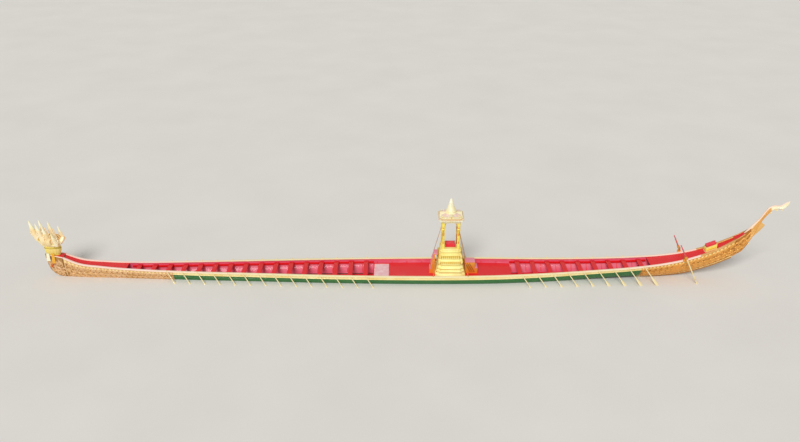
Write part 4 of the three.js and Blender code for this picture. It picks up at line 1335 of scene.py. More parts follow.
        crest = ((0.172, -0.65, 0.058, 0.038), (0.158, -0.59, 0.074, 0.042), (0.138, -0.52, 0.088, 0.046),
            (0.116, -0.45, 0.092, 0.048), (0.095, -0.385, 0.09, 0.047), (0.085, -0.33, 0.081, 0.043),
            (0.07, -0.26, 0.068, 0.038))
        tip = ((0.074, -0.275, 0.072, 0.04), (0.066, -0.25, 0.066, 0.037), (0.048, -0.19, 0.053, 0.031),
            (0.03, -0.12, 0.037, 0.023), (0.013, -0.05, 0.02, 0.013), (0, 0, 0.003, 0.003))
        upper = ((0.1, -0.39, 0.044, 0.04), (0.05, -0.396, 0.038, 0.036), (0.01, -0.392, 0.028, 0.028),
            (-0.006, -0.38, 0.018, 0.018), (-0.012, -0.37, 0.006, 0.006))
        lower = ((0.1, -0.462, 0.026, 0.034), (0.05, -0.46, 0.02, 0.03), (0.012, -0.455, 0.014, 0.022),
            (-0.002, -0.453, 0.005, 0.008))
        inside = ((0.1, -0.43, 0.022, 0.03), (0.05, -0.43, 0.022, 0.026), (0.012, -0.43, 0.02, 0.018))
        skin = merged("skin", [form("crest", crest, True), form("jaw", upper), form("chin", lower)])
        eyes, lids = ([at(0.045, sign * y, z) @ sized(*size) for sign in (-1, 1)]
            for y, z, size in ((0.034, -0.355, (0.012, 0.008, 0.012)), (0.03, -0.352, (0.02, 0.008, 0.018))))
        fangs = [at(u, sign * 0.015, v) @ sized(0.006, 0.006, tall) for sign in (-1, 1)
            for u, v, tall in ((0, -0.402, -0.032), (0.03, -0.414, -0.02), (0.01, -0.452, 0.022))]
        fang = turned("fang", 0, 0, [(0, 1), (0.4, 0.8), (0.8, 0.4), (1, 0.1)], 8)
        trim = merged("trim", [repeated("lids", bead(), lids), repeated("fangs", fang, fangs)])
        leaves = [at(u, 0, v, 90, axis="X") @ at(0, 0, 0, -12, size) @ at(0.06, -0.1, -0.05)
            for u, v, size in ((0.205, -0.6, 0.17), (0.19, -0.48, 0.16), (0.16, -0.37, 0.14))]
        parts = ((skin, GOLD_HEAD), (form("tip", tip, True), CREAM_GOLD),
            (form("mouth", inside), RED_BOARDS), (trim, CREAM_GOLD),
            (repeated("eyes", bead(), eyes), EYE_PAINT), (repeated("crest_flames", flame(double=True),
            leaves), PEACH_GOLD))
        places = [place.matrix(side) for place, side, _ in self.each()]
        nodes = [node for _, _, node in self.each()]
        for motif, finish in parts:
            self.spread(f"heads_{motif.name}", motif, places, finish, nodes, ROUND)


# Pavilion


def redented(centre: float, half: float, z: float) -> Table:
    """One level of a square plan whose corners step in three times."""
    side = ((1, 0.76), (0.92, 0.76), (0.92, 0.84), (0.84, 0.84), (0.84, 0.92), (0.76, 0.92), (0.76, 1))
    return [(centre + half * (u * along - v * across), half * (u * across + v * along), z)
        for along, across in ((1, 0), (0, 1), (-1, 0), (0, -1)) for u, v in side]


def stepped(name: str, centre: float, levels: Table) -> Piece:
    """A stack of redented square mouldings, through its levels of height and half-width."""
    return loft(name, [redented(centre, half, z) for z, half in levels])


def on_sides(centre: float, half: float, z: float, count: int, size: float, down: bool = False,
        span: float = 0.84, slim: float = 1) -> list[Matrix]:
    """Places in a row on each side of a square plan, facing outwards.

    Args:
        centre: The plan's middle along x.
        half: Half its width.
        z: The row's height.
        count: How many there are on a side.
        size: The scale of each.
        down: Whether each hangs down.
        span: The share of each side that the row covers.
        slim: The width of each, as a share of its own.

    Returns:
        The places, where the motif's Y points up or down and its Z outwards.
    """
    own = UPRIGHT @ at(0, 0, 0, 180 * down) @ sized(size * slim, size, size)
    return [at(centre, 0, z, 90 * quarter) @ at(half, ((2 * i + 1) / count - 1) * half * span, 0) @ own
        for quarter in range(4) for i in range(count)]


def petal() -> Piece:
    """A broad lotus petal with a raised rib, its foot at the origin and its tip up Y."""
    knots = ((0.34, 0, 0.1), (0.46, 0.25, 0.2), (0.42, 0.55, 0.24), (0.22, 0.85, 0.16), (0.01, 1.02, 0.08))
    side = ((-1, 0), (-0.6, 0.7), (-0.12, 0.75), (0, 1), (0.12, 0.75), (0.6, 0.7), (1, 0))
    return loft("petal", [[(max(0.006, half) * across, along, rise * up) for across, up in side]
        for half, along, rise in eased(knots, 7)])


def cushion(name: str, low: Row, high: Row, puff: float) -> Piece:
    """A stuffed cushion between two corners, swollen by a cloth simulation.

    Args:
        name: The piece's name.
        low: Its lowest corner.
        high: Its highest corner.
        puff: How far a point may move as it swells.

    Returns:
        The cushion, crowned on top and flat underneath.
    """
    margin, foot = puff * 0.7, low[2]
    piece = block(name, (low[0] + margin, low[1] + margin, foot), [end - margin for end in high], 0.014, 3)
    modify(piece, "REMESH", mode="VOXEL", voxel_size=0.006)
    start = np.array([tuple(vertex.co) for vertex in piece.data.vertices])
    stuffing = piece.modifiers.new("cloth", "CLOTH")
    stuffing.settings.use_pressure = True
    stuffing.settings.uniform_pressure_force = 4
    stuffing.settings.effector_weights.gravity = 0
    for number in range(1, 21):
        bpy.context.scene.frame_set(number)
    focus(piece)
    bpy.ops.object.modifier_apply(modifier=stuffing.name)
    bpy.context.scene.frame_set(1)
    moved = np.array([tuple(vertex.co) for vertex in piece.data.vertices]) - start
    moved *= np.minimum(1, puff / np.maximum(np.linalg.norm(moved, axis=1, keepdims=True), 1e-9))
    settled = start + moved
    settled[:, 2] = np.maximum(settled[:, 2], foot + 0.0005)
    return smoother(reshape(piece, settled))


def piping(name: str, low: Row, high: Row, z: float, inset: float) -> Piece:
    """The corded seam round a cushion, at one height."""
    corner, path = 0.022, []
    for u, v, start in ((1, 1, 0), (0, 1, 90), (0, 0, 180), (1, 0, 270)):
        x, y = (ends[1][axis] - inset - corner if part else ends[0][axis] + inset + corner
            for axis, part, ends in ((0, u, (low, high)), (1, v, (low, high))))
        path += [(x + corner * cos(angle), y + corner * sin(angle), z)
            for angle in np.radians(start + np.arange(5) * 22.5)]
    rows = []
    for point, ahead, behind in zip(path, path[1:] + path[:1], path[-1:] + path[:-1]):
        out = (Vector(ahead) - Vector(behind)).cross(Vector((0, 0, 1))).normalized()
        rows.append(oval(point, out * 0.0045, (0, 0, 0.0045), 8))
    return loft(name, [*rows, rows[0]], caps=False)


@dataclass
class Pavilion(Maker):
    """The stepped base, posts, eave, roof and spire, with the throne, curtains, steps and stays."""

    x: float = 1.29
    post: Row = (0.226, 0.048)
    platform: float = 1.03
    eave_bottom: float = 1.87
    ceiling: float = 1.98
    eave_top: float = 2.012
    recess: float = 0.172
    deck: float = 0.1603
    plinth_face: float = 0.4523
    step_half: float = 0.15
    stay_top: float = 1.64

    def build(self) -> None:
        """Builds and dresses the pavilion."""
        self.base()
        self.posts()
        self.eave()
        self.roof()
        self.spire()
        self.throne()
        for side in Side:
            self.curtain(side)
            for name, end in (("fore", -1), ("aft", 1)):
                self.stay(side, name, end)
        self.steps("steps_fore", -1, (0.04, 0.04, 0.04, 0.04), 0.66)
        self.steps("steps_aft", 1, (0.3, 0.08), 0.384)

    def edged(self, name: str, levels: Table, edge: float = 0.003) -> Piece:
        """A stack of mouldings about the pavilion's middle, with rounded edges."""
        return rounded(stepped(name, self.x, levels), edge, 1)

    def row(self, motif: Piece, finish: Finish, smooth: float, name: str, *runs: Row) -> None:
        """Rows of a motif on a part's four sides. The name is the piece's and the node's."""
        piece, node = name.split()
        places = [place for run in runs for place in on_sides(self.x, *run)]
        self.spread(piece, motif, places, finish, [node], smooth)

    def base(self) -> None:
        """The stepped base: cream tiers, two rows of lotus petals and the cream platform band."""
        plinth = ((self.deck, 0.452), (0.2, 0.452), (0.208, 0.446), (0.238, 0.446), (0.25, 0.436),
            (0.262, 0.42), (0.275, 0.42), (0.283, 0.41), (0.325, 0.41), (0.333, 0.42), (0.345, 0.416),
            (0.357, 0.392), (0.37, 0.392), (0.378, 0.383), (0.42, 0.383), (0.428, 0.392), (0.44, 0.388),
            (0.47, 0.354), (0.48, 0.352), (0.488, 0.343), (0.525, 0.343), (0.533, 0.352), (0.545, 0.354),
            (0.56, 0.366))
        belt = ((0.56, 0.366), (0.575, 0.378), (0.583, 0.374), (0.6, 0.378), (0.65, 0.358), (0.672, 0.362),
            (0.68, 0.34), (0.7, 0.334), (0.715, 0.34), (0.735, 0.35), (0.79, 0.348), (0.84, 0.33),
            (0.85, 0.33), (0.865, 0.3))
        cap = ((0.865, 0.3), (0.872, 0.296), (0.918, 0.296), (0.925, 0.3), (0.948, 0.32), (0.96, 0.32),
            (0.97, 0.306), (1, 0.303), (1.006, 0.306), (1.02, 0.3), (self.platform, 0.29))
        for name, levels in (("plinth", plinth), ("belt", belt), ("cap", cap)):
            self.dress(self.edged(f"base_{name}", levels), YELLOW_CREAM, ["pavilion_base"])
        self.row(petal(), GOLD_LOTUS, SOFT, "lotus_rows pavilion_base",
            (0.37, 0.588, 11, 0.076, False, 0.84, 0.62), (0.342, 0.838, 10, 0.1, True, 0.86, 0.5))
        self.row(bead(0.6), GOLD_LOTUS, ROUND, "base_bosses pavilion_base", (0.446, 0.222, 14, 0.012),
            (0.41, 0.304, 13, 0.014), (0.383, 0.4, 12, 0.014), (0.343, 0.507, 11, 0.012),
            (0.304, 0.985, 11, 0.011))
        self.row(petal(), GOLD_PALE, SOFT, "base_panels pavilion_base", (0.296, 0.876, 8, 0.036))

    def posts(self) -> None:
        """The four posts, redented and ringed, with inlays and curved brackets under the eave."""
        (reach, half), low, node = self.post, self.platform, ["pavilion_frame"]
        levels = ((low + GAP, 1), (low + 0.04, 1), (low + 0.048, 0.92), (low + 0.075, 0.9),
            (low + 0.09, 0.98), (low + 0.1, 0.98), (low + 0.112, 0.86), (1.36, 0.85), (1.372, 0.94),
            (1.392, 0.94), (1.402, 0.85), (1.61, 0.85), (1.62, 1), (1.66, 1), (1.67, 0.85), (1.74, 0.84),
            (1.755, 0.93), (1.77, 0.88), (1.79, 0.96), (1.81, 1), (self.ceiling, 1))
        curve = ((0, 0), (0.085, 0), (0.08, -0.012), (0.05, -0.022), (0.025, -0.05), (0.01, -0.1),
            (0, -0.16))
        feet = [(end, side, at(self.x + end * reach, side * reach, 0)) for end in (-1, 1) for side in Side]
        post = stepped("post", 0, [(z, half * grow) for z, grow in levels])
        posts = repeated("posts", post, [foot for _, _, foot in feet])
        self.dress(rounded(posts, 0.002, 1), YELLOW_GILT, node)
        inlays = [foot @ at(0, 0, z) @ place @ sized(0.018, tall, 0.006) for _, _, foot in feet
            for z, tall in ((1.24, 0.05), (1.5, 0.05), (1.705, 0.025))
            for place in on_sides(0, half * 0.86, 0, 1, 1)]
        self.spread("post_inlays", bead(), inlays, ORANGE_GOLD, node)
        bracket = rounded(loft("bracket", [[(u, y, v) for u, v in curve] for y in (-0.014, 0.014)]), 0.003,
            1)
        brackets = [foot @ at(0, 0, self.eave_bottom, turn) @ at(half * 0.98, 0, 0)
            for end, sign, foot in feet for turn in ([90 + 90 * end] + ([-90 * sign] if end < 0 else []))]
        self.spread("brackets", bracket, brackets, GOLD_FINE, node)

    def eave(self) -> None:
        """The hollow eave with its flared valance, hanging leaves and red ceiling."""
        top, low, inner = self.ceiling, self.eave_bottom, self.recess
        shell = ((top, 0.02), (top, inner), (low + 0.003, inner), (low, inner + 0.003), (low, 0.276),
            (low + 0.004, 0.28), (1.89, 0.284), (1.905, 0.29), (1.93, 0.306), (1.95, 0.322), (1.968, 0.342),
            (1.975, 0.352), (1.978, 0.35), (1.982, 0.37), (1.99, 0.372), (1.994, 0.366), (2.002, 0.366),
            (2.006, 0.372), (self.eave_top, 0.37), (self.eave_top, 0.02))
        self.dress(stepped("eave_shell", self.x, shell), CREAM_WOOD, ["pavilion_frame"])
        self.row(petal(), CREAM_GOLD, SOFT, "eave_leaves pavilion_frame",
            (0.278, 1.892, 12, 0.036, True, 0.9, 0.8), (0.354, 1.992, 13, 0.064, True, 0.92, 0.82))
        self.row(bead(), RED_GLASS, ROUND, "eave_studs pavilion_frame", (0.367, 1.998, 19, 0.008))
        reach = inner - 0.003
        ceiling = block("ceiling", (self.x - reach, -reach, top - 0.008),
            (self.x + reach, reach, top - 0.0005), 0.002)
        panelled(ceiling, lambda face: face.normal.z < -0.9, (0.03, -0.003), (0.012, 0.003))
        self.dress(ceiling, RED_BOARDS, ["pavilion_frame"])

    def roof(self) -> None:
        """The two roof slopes over a tan line of painted shadow at their foot, with a large gable on each
        side and gilt horns.
        """
        node, foot = ["pavilion_roof"], self.eave_top + GAP
        lower = ((foot, 0.348), (2.016, 0.352), (2.03, 0.346), (2.036, 0.31), (2.048, 0.268), (2.054, 0.268),
            (2.056, 0.282), (2.07, 0.282), (2.073, 0.276))
        upper = ((2.073, 0.276), (2.077, 0.26), (2.083, 0.225), (2.09, 0.198), (2.1, 0.196))
        # A tan band at the roof's foot: painted shadow for the shade in the groove there.
        line = ((foot + 0.0002, 0.346), (2.014, 0.355), (2.026, 0.355), (2.029, 0.342))
        self.dress(self.edged("roof_lower", lower, 0.002), CREAM_WOOD, node)
        self.dress(self.edged("roof_upper", upper, 0.002), PINK_TILES, node)
        self.dress(stepped("roof_line", self.x, line), TAN_GOLD, node)
        rows = [[(u * wide, up + v * tall, depth) for u, v in ((-1, 0), (1, 0), (0.62, 0.5), (0, 1),
            (-0.62, 0.5))] for depth, wide, tall, up in ((-0.16, 0.118, 0.07, 0.03), (-0.012, 0.118, 0.1, 0),
            (0, 0.11, 0.094, 0.002), (-0.001, 0.094, 0.08, 0.008), (-0.012, 0.088, 0.074, 0.01))]
        self.row(loft("gable", rows), CREAM_WOOD, 35, "gables pavilion_roof", (0.325, 2.028, 1, 1))
        self.row(bead(0.5), GOLD_LOTUS, ROUND, "gable_suns pavilion_roof", (0.314, 2.064, 1, 0.026))
        horns = on_sides(self.x, 0.318, 2.116, 1, 0.05)
        horns += [at(self.x, 0, z, 45 + 90 * quarter) @ at(reach, 0, 0, 90, size, "X")
            for quarter in range(4) for reach, z, size in ((0.38, 2.022, 0.075), (0.3, 2.07, 0.06))]
        self.spread("roof_horns", flame(0.15, True), horns, GOLD_PALE, node)

    def spire(self) -> None:
        """The conical spire, each tier ringed and set round with petals, up to its finial."""
        tiers = ((2.101, 0.172), (2.16, 0.156), (2.2, 0.136), (2.238, 0.12), (2.274, 0.104), (2.318, 0.092),
            (2.362, 0.078), (2.408, 0.067), (2.448, 0.055), (2.484, 0.043), (2.512, 0.033), (2.53, 0))
        rings, petals = [], []
        for (z, reach), (over, _) in zip(tiers, tiers[1:]):
            rise = over - z
            rings += [(z + rise * part, reach * grow) for part, grow in ((0, 1), (0.28, 1), (0.34, 0.93),
                (0.6, 0.88), (0.94, 0.84))]
            count = max(8, round(reach * 90)) if z < 2.4 else 0
            petals += [at(self.x, 0, z + rise * 0.3, 360 * i / count) @ at(reach * 0.88, 0, 0) @ UPRIGHT
                @ sized(rise * 0.5, rise * 0.62, rise * 0.62) for i in range(count)]
        rings += [(2.531, 0.022), (2.536, 0.014), (2.548, 0.008)]
        self.dress(turned("spire", self.x, 0, rings, 32), CREAM_GOLD, ["pavilion_roof"], 40)
        self.spread("spire_petals", petal(), petals, GOLD_PALE, ["pavilion_roof"], SOFT)

    def throne(self) -> None:
        """The throne's cushion with its corded seams."""
        foot = self.platform
        low, high = (self.x - 0.16, -0.15, foot + GAP), (self.x + 0.16, 0.15, foot + 0.096)
        seat = self.dress(cushion("throne_pad", low, high, 0.016), THRONE_CLOTH, ["throne_cushion"], ROUND)
        seams = [piping("seam", low, high, z, 0.008) for z in (foot + 0.014, foot + 0.08)]
        self.dress(merged("throne_seams", seams), RED_CORD, ["throne_cushion"], ROUND)

    def curtain(self, side: Side) -> None:
        """One gathered curtain between the after posts, drawn in by a tie."""
        low, high, knot = self.platform + 0.002, self.eave_bottom - 0.001, 1.38
        centre_x, centre_y = self.x + 0.218, side * 0.118
        rows, flat, node = [], 0, [f"curtain_{side}"]
        for level in np.linspace(0, 1, 26):
            z = high - level * (high - low)
            reach = (0.034 + 0.006 * level) * (1 - 0.45 * exp(-(((z - knot) / 0.07) ** 2)))
            row = []
            for step in np.linspace(-1, 1, 85):
                wave = sin(step * pi * 5.5 + 0.4 * sin(level * 5))
                row.append((centre_x + reach * 0.8 * wave * (0.75 + 0.25 * level), centre_y + reach * step,
                    z))
            rows.append(row)
            flat = max(flat, sum((Vector(a) - Vector(b)).length for a, b in zip(row, row[1:])))
        piece = self.dress(cloth(f"curtain_cloth_{side}", rows, 0.002), CURTAIN_CLOTH, node, ROUND)
        levels = [(knot + z, reach) for z, reach in ((-0.018, 0.024), (-0.014, 0.029), (0.014, 0.029),
            (0.018, 0.024))]
        self.dress(turned(f"curtain_tie_{side}", centre_x, centre_y, levels), GOLD_CORD, node)

    def steps(self, node: str, end: int, treads: Row, height: float) -> None:
        """One flight of steps with nosings and petals up its risers.

        Args:
            node: The CAD node that it stands for.
            end: 1 for the after flight, and -1 for the fore flight.
            treads: The treads' depths, from the top down.
            height: Its whole height.
        """
        half, rise = self.step_half, height / len(treads)
        foot = near = self.x + end * self.plinth_face
        bodies, boards, leaves = [], [], []
        for i, depth in enumerate(treads):
            level, far = self.deck + height - rise * i, near + end * depth
            inner = near + 0.082 if end < 0 and i == 0 else near
            bodies.append(block("riser", (near, 0.006 - half, self.deck),
                (far, half - 0.006, level - 0.016)))
            boards.append(block("tread", (inner, -half, level - 0.02), (far, half, level), 0.006, 3))
            if inner != near:
                boards.append(block("slab", (foot, 0.004 - half, level - 0.046),
                    (inner, half - 0.004, level - 0.016)))
            leaves += [at(far - end * 0.001, (part - 3) * 0.038, level - rise * 0.86, 90 - 90 * end)
                @ UPRIGHT @ sized(0.04, rise * 0.66, 0.02) for part in range(7)]
            near = far
        self.dress(merged(f"{node}_body", bodies), ORANGE_GOLD, [node])
        self.dress(merged(f"{node}_treads", boards), PINK_BOARDS, [node])
        self.spread(f"{node}_petals", petal(), leaves, GOLD_FINE, [node], SOFT)
        if end > 0:
            spots = [at(foot + 0.09 + 0.06 * i, side * (half - 0.003), 0.345, -28, axis="Y")
                for i in range(3) for side in Side]
            batten = block("batten", (-0.009, -0.005, -0.165), (0.009, 0.005, 0.165))
            self.spread(f"{node}_battens", batten, spots, BROWN_WOOD, [node])

    def stay(self, side: Side, name: str, end: int) -> None:
        """One taut stay from a post to the gunwale, a twisted rod with turned ends on plates."""
        (reach, half), label = self.post, f"stay_{name}_{side}"
        foot_x = self.x + end * (reach + 0.29)
        foot = Vector((foot_x, side * (float(FORM.section(foot_x).beam) - 0.004), FORM.sheer(foot_x)
            + 0.0123))
        top = Vector((self.x + end * reach, side * (reach + half + 0.0123), self.stay_top))
        length = (foot - top).length
        ends = [(0, 0.007), (0.012, 0.013), (0.02, 0.013), (0.03, 0.008), (0.05, 0.012), (0.07, 0.008)]
        marks = ends + [(part, 0.0068) for part in np.linspace(0.08, length - 0.08, 121)]
        marks += [(length - distance, radius) for distance, radius in reversed(ends)]
        angles = np.arange(8) * pi / 4
        rows = []
        for distance, radius in marks:
            strands = radius * (1 + 0.2 * np.cos(3 * angles - distance * 200) * (radius < 0.0069))
            rows.append([(wide * cos(angle), wide * sin(angle), distance)
                for angle, wide in zip(angles, strands)])
        rod = loft(f"{label}_rod", rows)
        rod.data.transform(at(*top) @ (foot - top).to_track_quat("Z", "X").to_matrix().to_4x4())
        self.dress(rod, GOLD_METAL, [label], SOFT)
        plate = block("plate", (top.x - 0.017, side * (reach + half + GAP), top.z - 0.017),
            (top.x + 0.017, side * (reach + half + 0.011), top.z + 0.017))
        sill = block("sill", foot - Vector((0.017, 0.017, 0.012)), foot + Vector((0.017, 0.017, 0.002)))
        self.dress(merged(f"{label}_plates", [plate, sill]), GOLD_METAL, [label])


# Stern


@dataclass
class Stern(Maker):
    """The solid counter, the upswept tail, the raised seat and the two steering oars."""

    counter: Table = ((9.7503, 0.65, 1.265, 0.137), (9.9, 0.745, 1.352, 0.112), (10.05, 0.86, 1.46, 0.086),
        (10.2, 1.1, 1.6, 0.056))
    blade: Table = ((9.98, 1.38, 10.06, 0.98, 0.036), (10.06, 1.49, 10.19, 1.12, 0.036),
        (10.15, 1.6, 10.28, 1.3, 0.036), (10.236, 1.709, 10.36, 1.5, 0.035),
        (10.32, 1.812, 10.42, 1.68, 0.034), (10.406, 1.919, 10.49, 1.845, 0.032),
        (10.519, 2.119, 10.6, 2.015, 0.03), (10.613, 2.253, 10.68, 2.115, 0.027),
        (10.747, 2.32, 10.75, 2.178, 0.024), (10.85, 2.32, 10.885, 2.208, 0.022),
        (10.952, 2.32, 10.97, 2.197, 0.02), (11.057, 2.387, 11.036, 2.188, 0.016),
        (11.14, 2.427, 11.1, 2.26, 0.01), (11.2, 2.457, 11.16, 2.36, 0.005),
        (11.21, 2.461, 11.19, 2.42, 0.003))
    fin: Table = ((10.29, 1.31, 10.45, 1.79, 0.024), (10.4, 1.43, 10.49, 1.765, 0.02),
        (10.48, 1.52, 10.53, 1.735, 0.016), (10.545, 1.61, 10.565, 1.71, 0.01),
        (10.588, 1.686, 10.59, 1.692, 0.003))
    seat_ends: Row = (8.92, 9.24)
    pivot: Row = (8.27, 0.4, 0.79)
    oar_way: Row = (0.33, 0.1, -0.68)

    def build(self) -> None:
        """Builds and dresses the stern."""
        SolidEnd(self.counter).build(self, "counter", "tail", 1, (9.76, 10.12), (9.755, 10.02), STERN_GOLD,
            STERN_RELIEF, TAN_GOLD)
        self.tail()
        self.seat()
        for side in Side:
            self.oar(side)
            self.swivel(side)

    def tail(self) -> None:
        """The tail's blade with its cream tip, edges, scrolls and flame fins; the upper edge's pale
        pink-cream is a painted highlight.
        """
        node, sections, split = ["tail"], eased(self.blade, 44), 23
        rings, cap, edge = [], [], []
        for top_x, top_z, low_x, low_z, wide in sections:
            middle = Vector(((top_x + low_x) / 2, 0, (top_z + low_z) / 2))
            reach = Vector(((top_x - low_x) / 2, 0, (top_z - low_z) / 2))
            rings.append([middle + reach * copysign(abs(cos(angle)) ** 0.8, cos(angle))
                + Vector((0, wide, 0)) * copysign(abs(sin(angle)) ** 0.6, sin(angle))
                for angle in np.arange(16) * pi / 8])
            slim = min(0.004 + wide * 0.25, reach.length * 0.16)
            edge.append((middle - reach * 0.9, (0, wide * 0.8, 0), (slim, 0, slim)))
            cap.append([middle + (point - middle) * 1.05 for point in rings[-1][-3:] + rings[-1][:4]])
        # The upper edge's pale pink-cream is a painted highlight along the blade's top.
        for name, rows, finish, smooth in (("blade", rings[:split + 1], STERN_RELIEF, SOFT),
                ("curl", rings[split:], CREAM_GOLD, SOFT), ("edge_upper", cap, HIGHLIGHT_CREAM, ROUND)):
            self.dress(loft(f"tail_{name}", rows), finish, node, smooth)
        self.dress(tapered("tail_edge_lower", edge), TAN_GOLD, node, ROUND)
        curls, fins = ([], []), []
        for i in range(2, 40):
            top_x, top_z, low_x, low_z, wide = sections[i]
            heading = degrees(atan2(sections[i + 1][3] - low_z, sections[i + 1][2] - low_x))
            tall = hypot(top_x - low_x, top_z - low_z)
            for share, turn, size in ((0.34, 0, 0.44), (0.68, 180, 0.36)):
                x, z = low_x + (top_x - low_x) * share, low_z + (top_z - low_z) * share
                for side in Side:
                    face = at(x, side * wide * 0.86, z, 90, axis="X") @ sized(1, 1, -side)
                    curls[i >= split].append(face @ at(0, 0, 0, heading + turn)
                        @ sized(tall * size, tall * size, 0.09))
            if i % 6 == 2 and not 12 < i < 20:
                fins.append(at(low_x - 0.008, 0, low_z, 90, axis="X")
                    @ at(0, 0, 0, heading - 122, 0.1 if i < 30 else 0.07))
        for name, places, finish in (("tail_scrolls", curls[0], GOLD_RELIEF),
                ("curl_scrolls", curls[1], CREAM_GOLD)):
            self.spread(name, scroll(), places[::2] + places[1::4], finish, node)
        self.spread("tail_fins", flame(-0.3, True), fins, GOLD_PALE, node)
        around = ((0, 0), (0.25, 0.8), (0.6, 1), (1, 0.7), (1, -0.7), (0.6, -1), (0.25, -0.8))
        rows = [[(x0 + (x1 - x0) * share, thick * out, z0 + (z1 - z0) * share) for share, out in around]
            for x0, z0, x1, z1, thick in eased(self.fin, 14)]
        self.dress(loft("great_fin", rows), GOLD_RELIEF, node, SOFT)

    def seat(self) -> None:
        """The raised seat with inset panels and its red cushion, sloping with the deck."""
        (x0, x1), half, top = self.seat_ends, 0.105, 0.152
        low, high = (FORM.sheer(x) - DECK_DROP for x in self.seat_ends)
        slope = (high - low) / (x1 - x0)
        skew = Matrix(((1, 0, 0, 0), (0, 1, 0, 0), (slope, 0, 1, low - slope * x0), (0, 0, 0, 1)))
        body = block("seat_body", (x0, -half, GAP), (x1, half, top))
        panelled(body, lambda face: abs(face.normal.z) < 0.1 and face.calc_area() > 0.01, (0.022, -0.006),
            (0.01, 0.004), single=True)
        moulds = merged("seat_mouldings", [block("mould", (x0, -half, z), (x1, half, z + 0.018), 0.006, 3)
            for z in (GAP, top - 0.019)])
        first, last = (x0 + 0.012, 0.012 - half, top + GAP), (x1 - 0.012, half - 0.012, top + 0.062)
        pad = cushion("stern_pad", first, last, 0.012)
        seams = merged("stern_seams", [piping("seam", first, last, z, 0.007)
            for z in (top + 0.012, top + 0.05)])
        for piece, finish, node, smooth in ((body, YELLOW_GILT, "stern_seat", 35),
                (moulds, CREAM_WOOD, "stern_seat", 35), (pad, THRONE_CLOTH, "stern_cushion", ROUND),
                (seams, RED_CORD, "stern_cushion", ROUND)):
            piece.data.transform(skew)
            self.dress(piece, finish, [node], smooth)

    def oar(self, side: Side) -> None:
        """One steering oar: grip, red upper shaft, pale lower shaft, blade and the collar on its pin."""
        body, node = f"oar_{side}", [f"steering_oar_{side}"]
        way = Vector((self.oar_way[0], side * self.oar_way[1], self.oar_way[2])).normalized()
        x, y, z = self.pivot[0], side * self.pivot[1], self.pivot[2]
        frame = at(x, y, z) @ Vector((0, -1, 0)).rotation_difference(way).to_matrix().to_4x4()
        shaft = ((0.45, 0.004, 0.004), (0.446, 0.018, 0.018), (0.43, 0.019, 0.019), (0.41, 0.0145, 0.0145),
            (0.3, 0.017, 0.017), (0.1, 0.019, 0.019), (-0.05, 0.019, 0.019))
        lower = ((-0.05, 0.019, 0.019), (-0.06, 0.0195, 0.0195), (-0.3, 0.0188, 0.0188),
            (-0.62, 0.018, 0.018), (-0.8, 0.0165, 0.016), (-0.86, 0.022, 0.013))
        blade = ((-0.85, 0.0215, 0.0135), (-0.92, 0.04, 0.012), (-1.02, 0.068, 0.0095),
            (-1.12, 0.075, 0.0085), (-1.22, 0.073, 0.0075), (-1.3, 0.055, 0.006), (-1.34, 0.03, 0.005),
            (-1.35, 0.006, 0.003))
        for name, finish, stations in (("shaft", RED_SHAFT, shaft), ("lower_shaft", PALE_PADDLE, lower),
                ("blade", PALE_PADDLE, blade)):
            line = [((0, along, 0), (wide, 0, 0), (0, 0, thick)) for along, wide, thick in eased(stations,
                30)]
            piece = tapered(f"oar_{name}_{side}", line, 16)
            piece.data.transform(frame)
            self.dress(piece, finish, node, SOFT, body)
        rings = [frame @ at(0, along, 0, 90, 0.0196, "X") for along in (0.12, 0.2, 0.3, -0.16, -0.5, -0.74)]
        self.spread(f"oar_rings_{side}", ring(0.2), rings, GOLD_METAL, node, ROUND, body)
        collar = block(f"oar_collar_{side}", (-0.038, -0.022, -0.044), (0.038, 0.022, 0.044), 0.006, 3)
        tilt = degrees(atan2(-self.oar_way[0], -self.oar_way[2]))
        collar.data.transform(at(x, y, z, tilt, axis="Y"))
        bored(collar, (x, y, z), 0.0128, (pi / 2, 0, 0))
        self.dress(collar, ORANGE_GOLD, node, body=body)

    def swivel(self, side: Side) -> None:
        """The swivel's own finish, and turns of cord round its arm."""
        solid = bpy.data.objects[f"oar_swivel_{side}"]
        solid.data.materials.clear()
        solid.data.materials.append(self.material(GOLD_METAL))
        x, _, z = self.pivot
        turns = [at(x, side * (0.33 + 0.0068 * i), z, 90, 0.0215, "X") for i in range(5)]
        self.spread(f"lashing_{side}", ring(0.16), turns, GOLD_CORD, (), ROUND, f"swivel_{side}")


# Stage


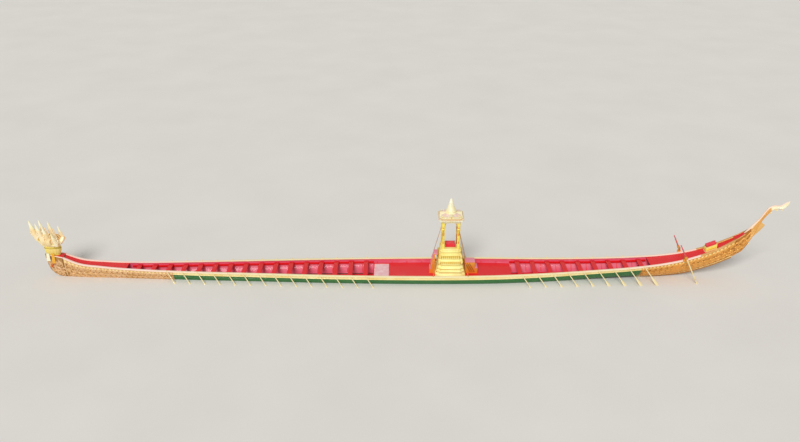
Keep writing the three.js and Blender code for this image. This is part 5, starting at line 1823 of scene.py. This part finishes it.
class Stage:
    """The plain floor at the waterline, the soft light and the camera."""

    REACH = 150
    CAMERA = (-0.21, -22.917, 12.074)
    PITCH = 65.9
    LENS = 38.25

    def build(self) -> None:
        """Sets the floor, the light and the camera."""
        self.floor()
        self.lights()
        self.camera()

    def floor(self) -> None:
        """A pale floor with a hole in it along the middle of the planking's thickness."""
        xs, reach = np.arange(-10.25, 6, 0.05), self.REACH
        water = np.zeros_like(xs)
        inside = np.where(FORM.section(xs).keel + FORM.BOTTOM < 0, FORM.half(xs, water), 0)
        edge = np.where(inside > 0.004, (inside + FORM.half(xs, water, 0, 0)) / 2, 0)
        edge[0] = edge[-1] = 0
        rows = [[(x, y, 0) for y in (-reach, -half, half, reach)] for x, half in ((-reach, 0),
            *zip(xs, edge), (reach, 0))]
        piece = added("floor", bpy.ops.mesh.primitive_grid_add, x_subdivisions=3, y_subdivisions=len(rows)
            - 1)
        reshape(piece, np.array(rows))
        with editing(piece) as mesh:
            for face in mesh.faces:
                face.select_set(abs(face.calc_center_median().y) < 1e-6 and face.calc_area() > 1e-9)
            bpy.ops.mesh.delete(type="FACE")
            bpy.ops.mesh.select_all(action="SELECT")
            bpy.ops.mesh.remove_doubles(threshold=1e-5)
        recipe = Recipe("pale_floor")
        cloud = recipe.noise(0.35, 3)
        recipe.feed("Base Color", recipe.mix(cloud, paint("dedbd5"), paint("e8e5df")))
        recipe.feed("Roughness", cloud * 0.1 + 0.75)
        piece.data.materials.append(recipe.material)

    def lights(self) -> None:
        """Even light from all round with a large soft lamp above the near side."""
        world = bpy.data.worlds.new("soft_light")
        world.use_nodes = True
        sky = world.node_tree.nodes["Background"].inputs
        sky["Color"].default_value = (1, 0.99, 0.97, 1)
        sky["Strength"].default_value = 0.45
        bpy.context.scene.world = world
        bpy.ops.object.light_add(type="SUN", location=(-6, -9, 18))
        lamp = bpy.context.object
        lamp.name = "soft_sun"
        lamp.data.energy = 2.1
        lamp.data.angle = radians(24)
        lamp.rotation_euler = (radians(46), radians(-16), 0)
        bpy.context.scene.view_settings.view_transform = "Standard"

    def camera(self) -> None:
        """The photograph's viewpoint."""
        bpy.ops.object.camera_add(location=self.CAMERA, rotation=(radians(self.PITCH), 0, 0))
        camera = bpy.context.object
        camera.name = "camera"
        camera.data.lens = self.LENS
        camera.data.sensor_width = 36
        camera.data.clip_end = 500
        bpy.context.scene.camera = camera


def main() -> None:
    """Builds the barge's pieces, then its stage."""
    logging.basicConfig(level=logging.INFO, format="%(name)s: %(message)s")
    materials = {}
    for maker in (Hull, Figurehead, Pavilion, Stern):
        maker(materials).build()
    Stage().build()
    LOG.info("%d materials in use", len(materials))


if __name__ == "__main__":
    main()
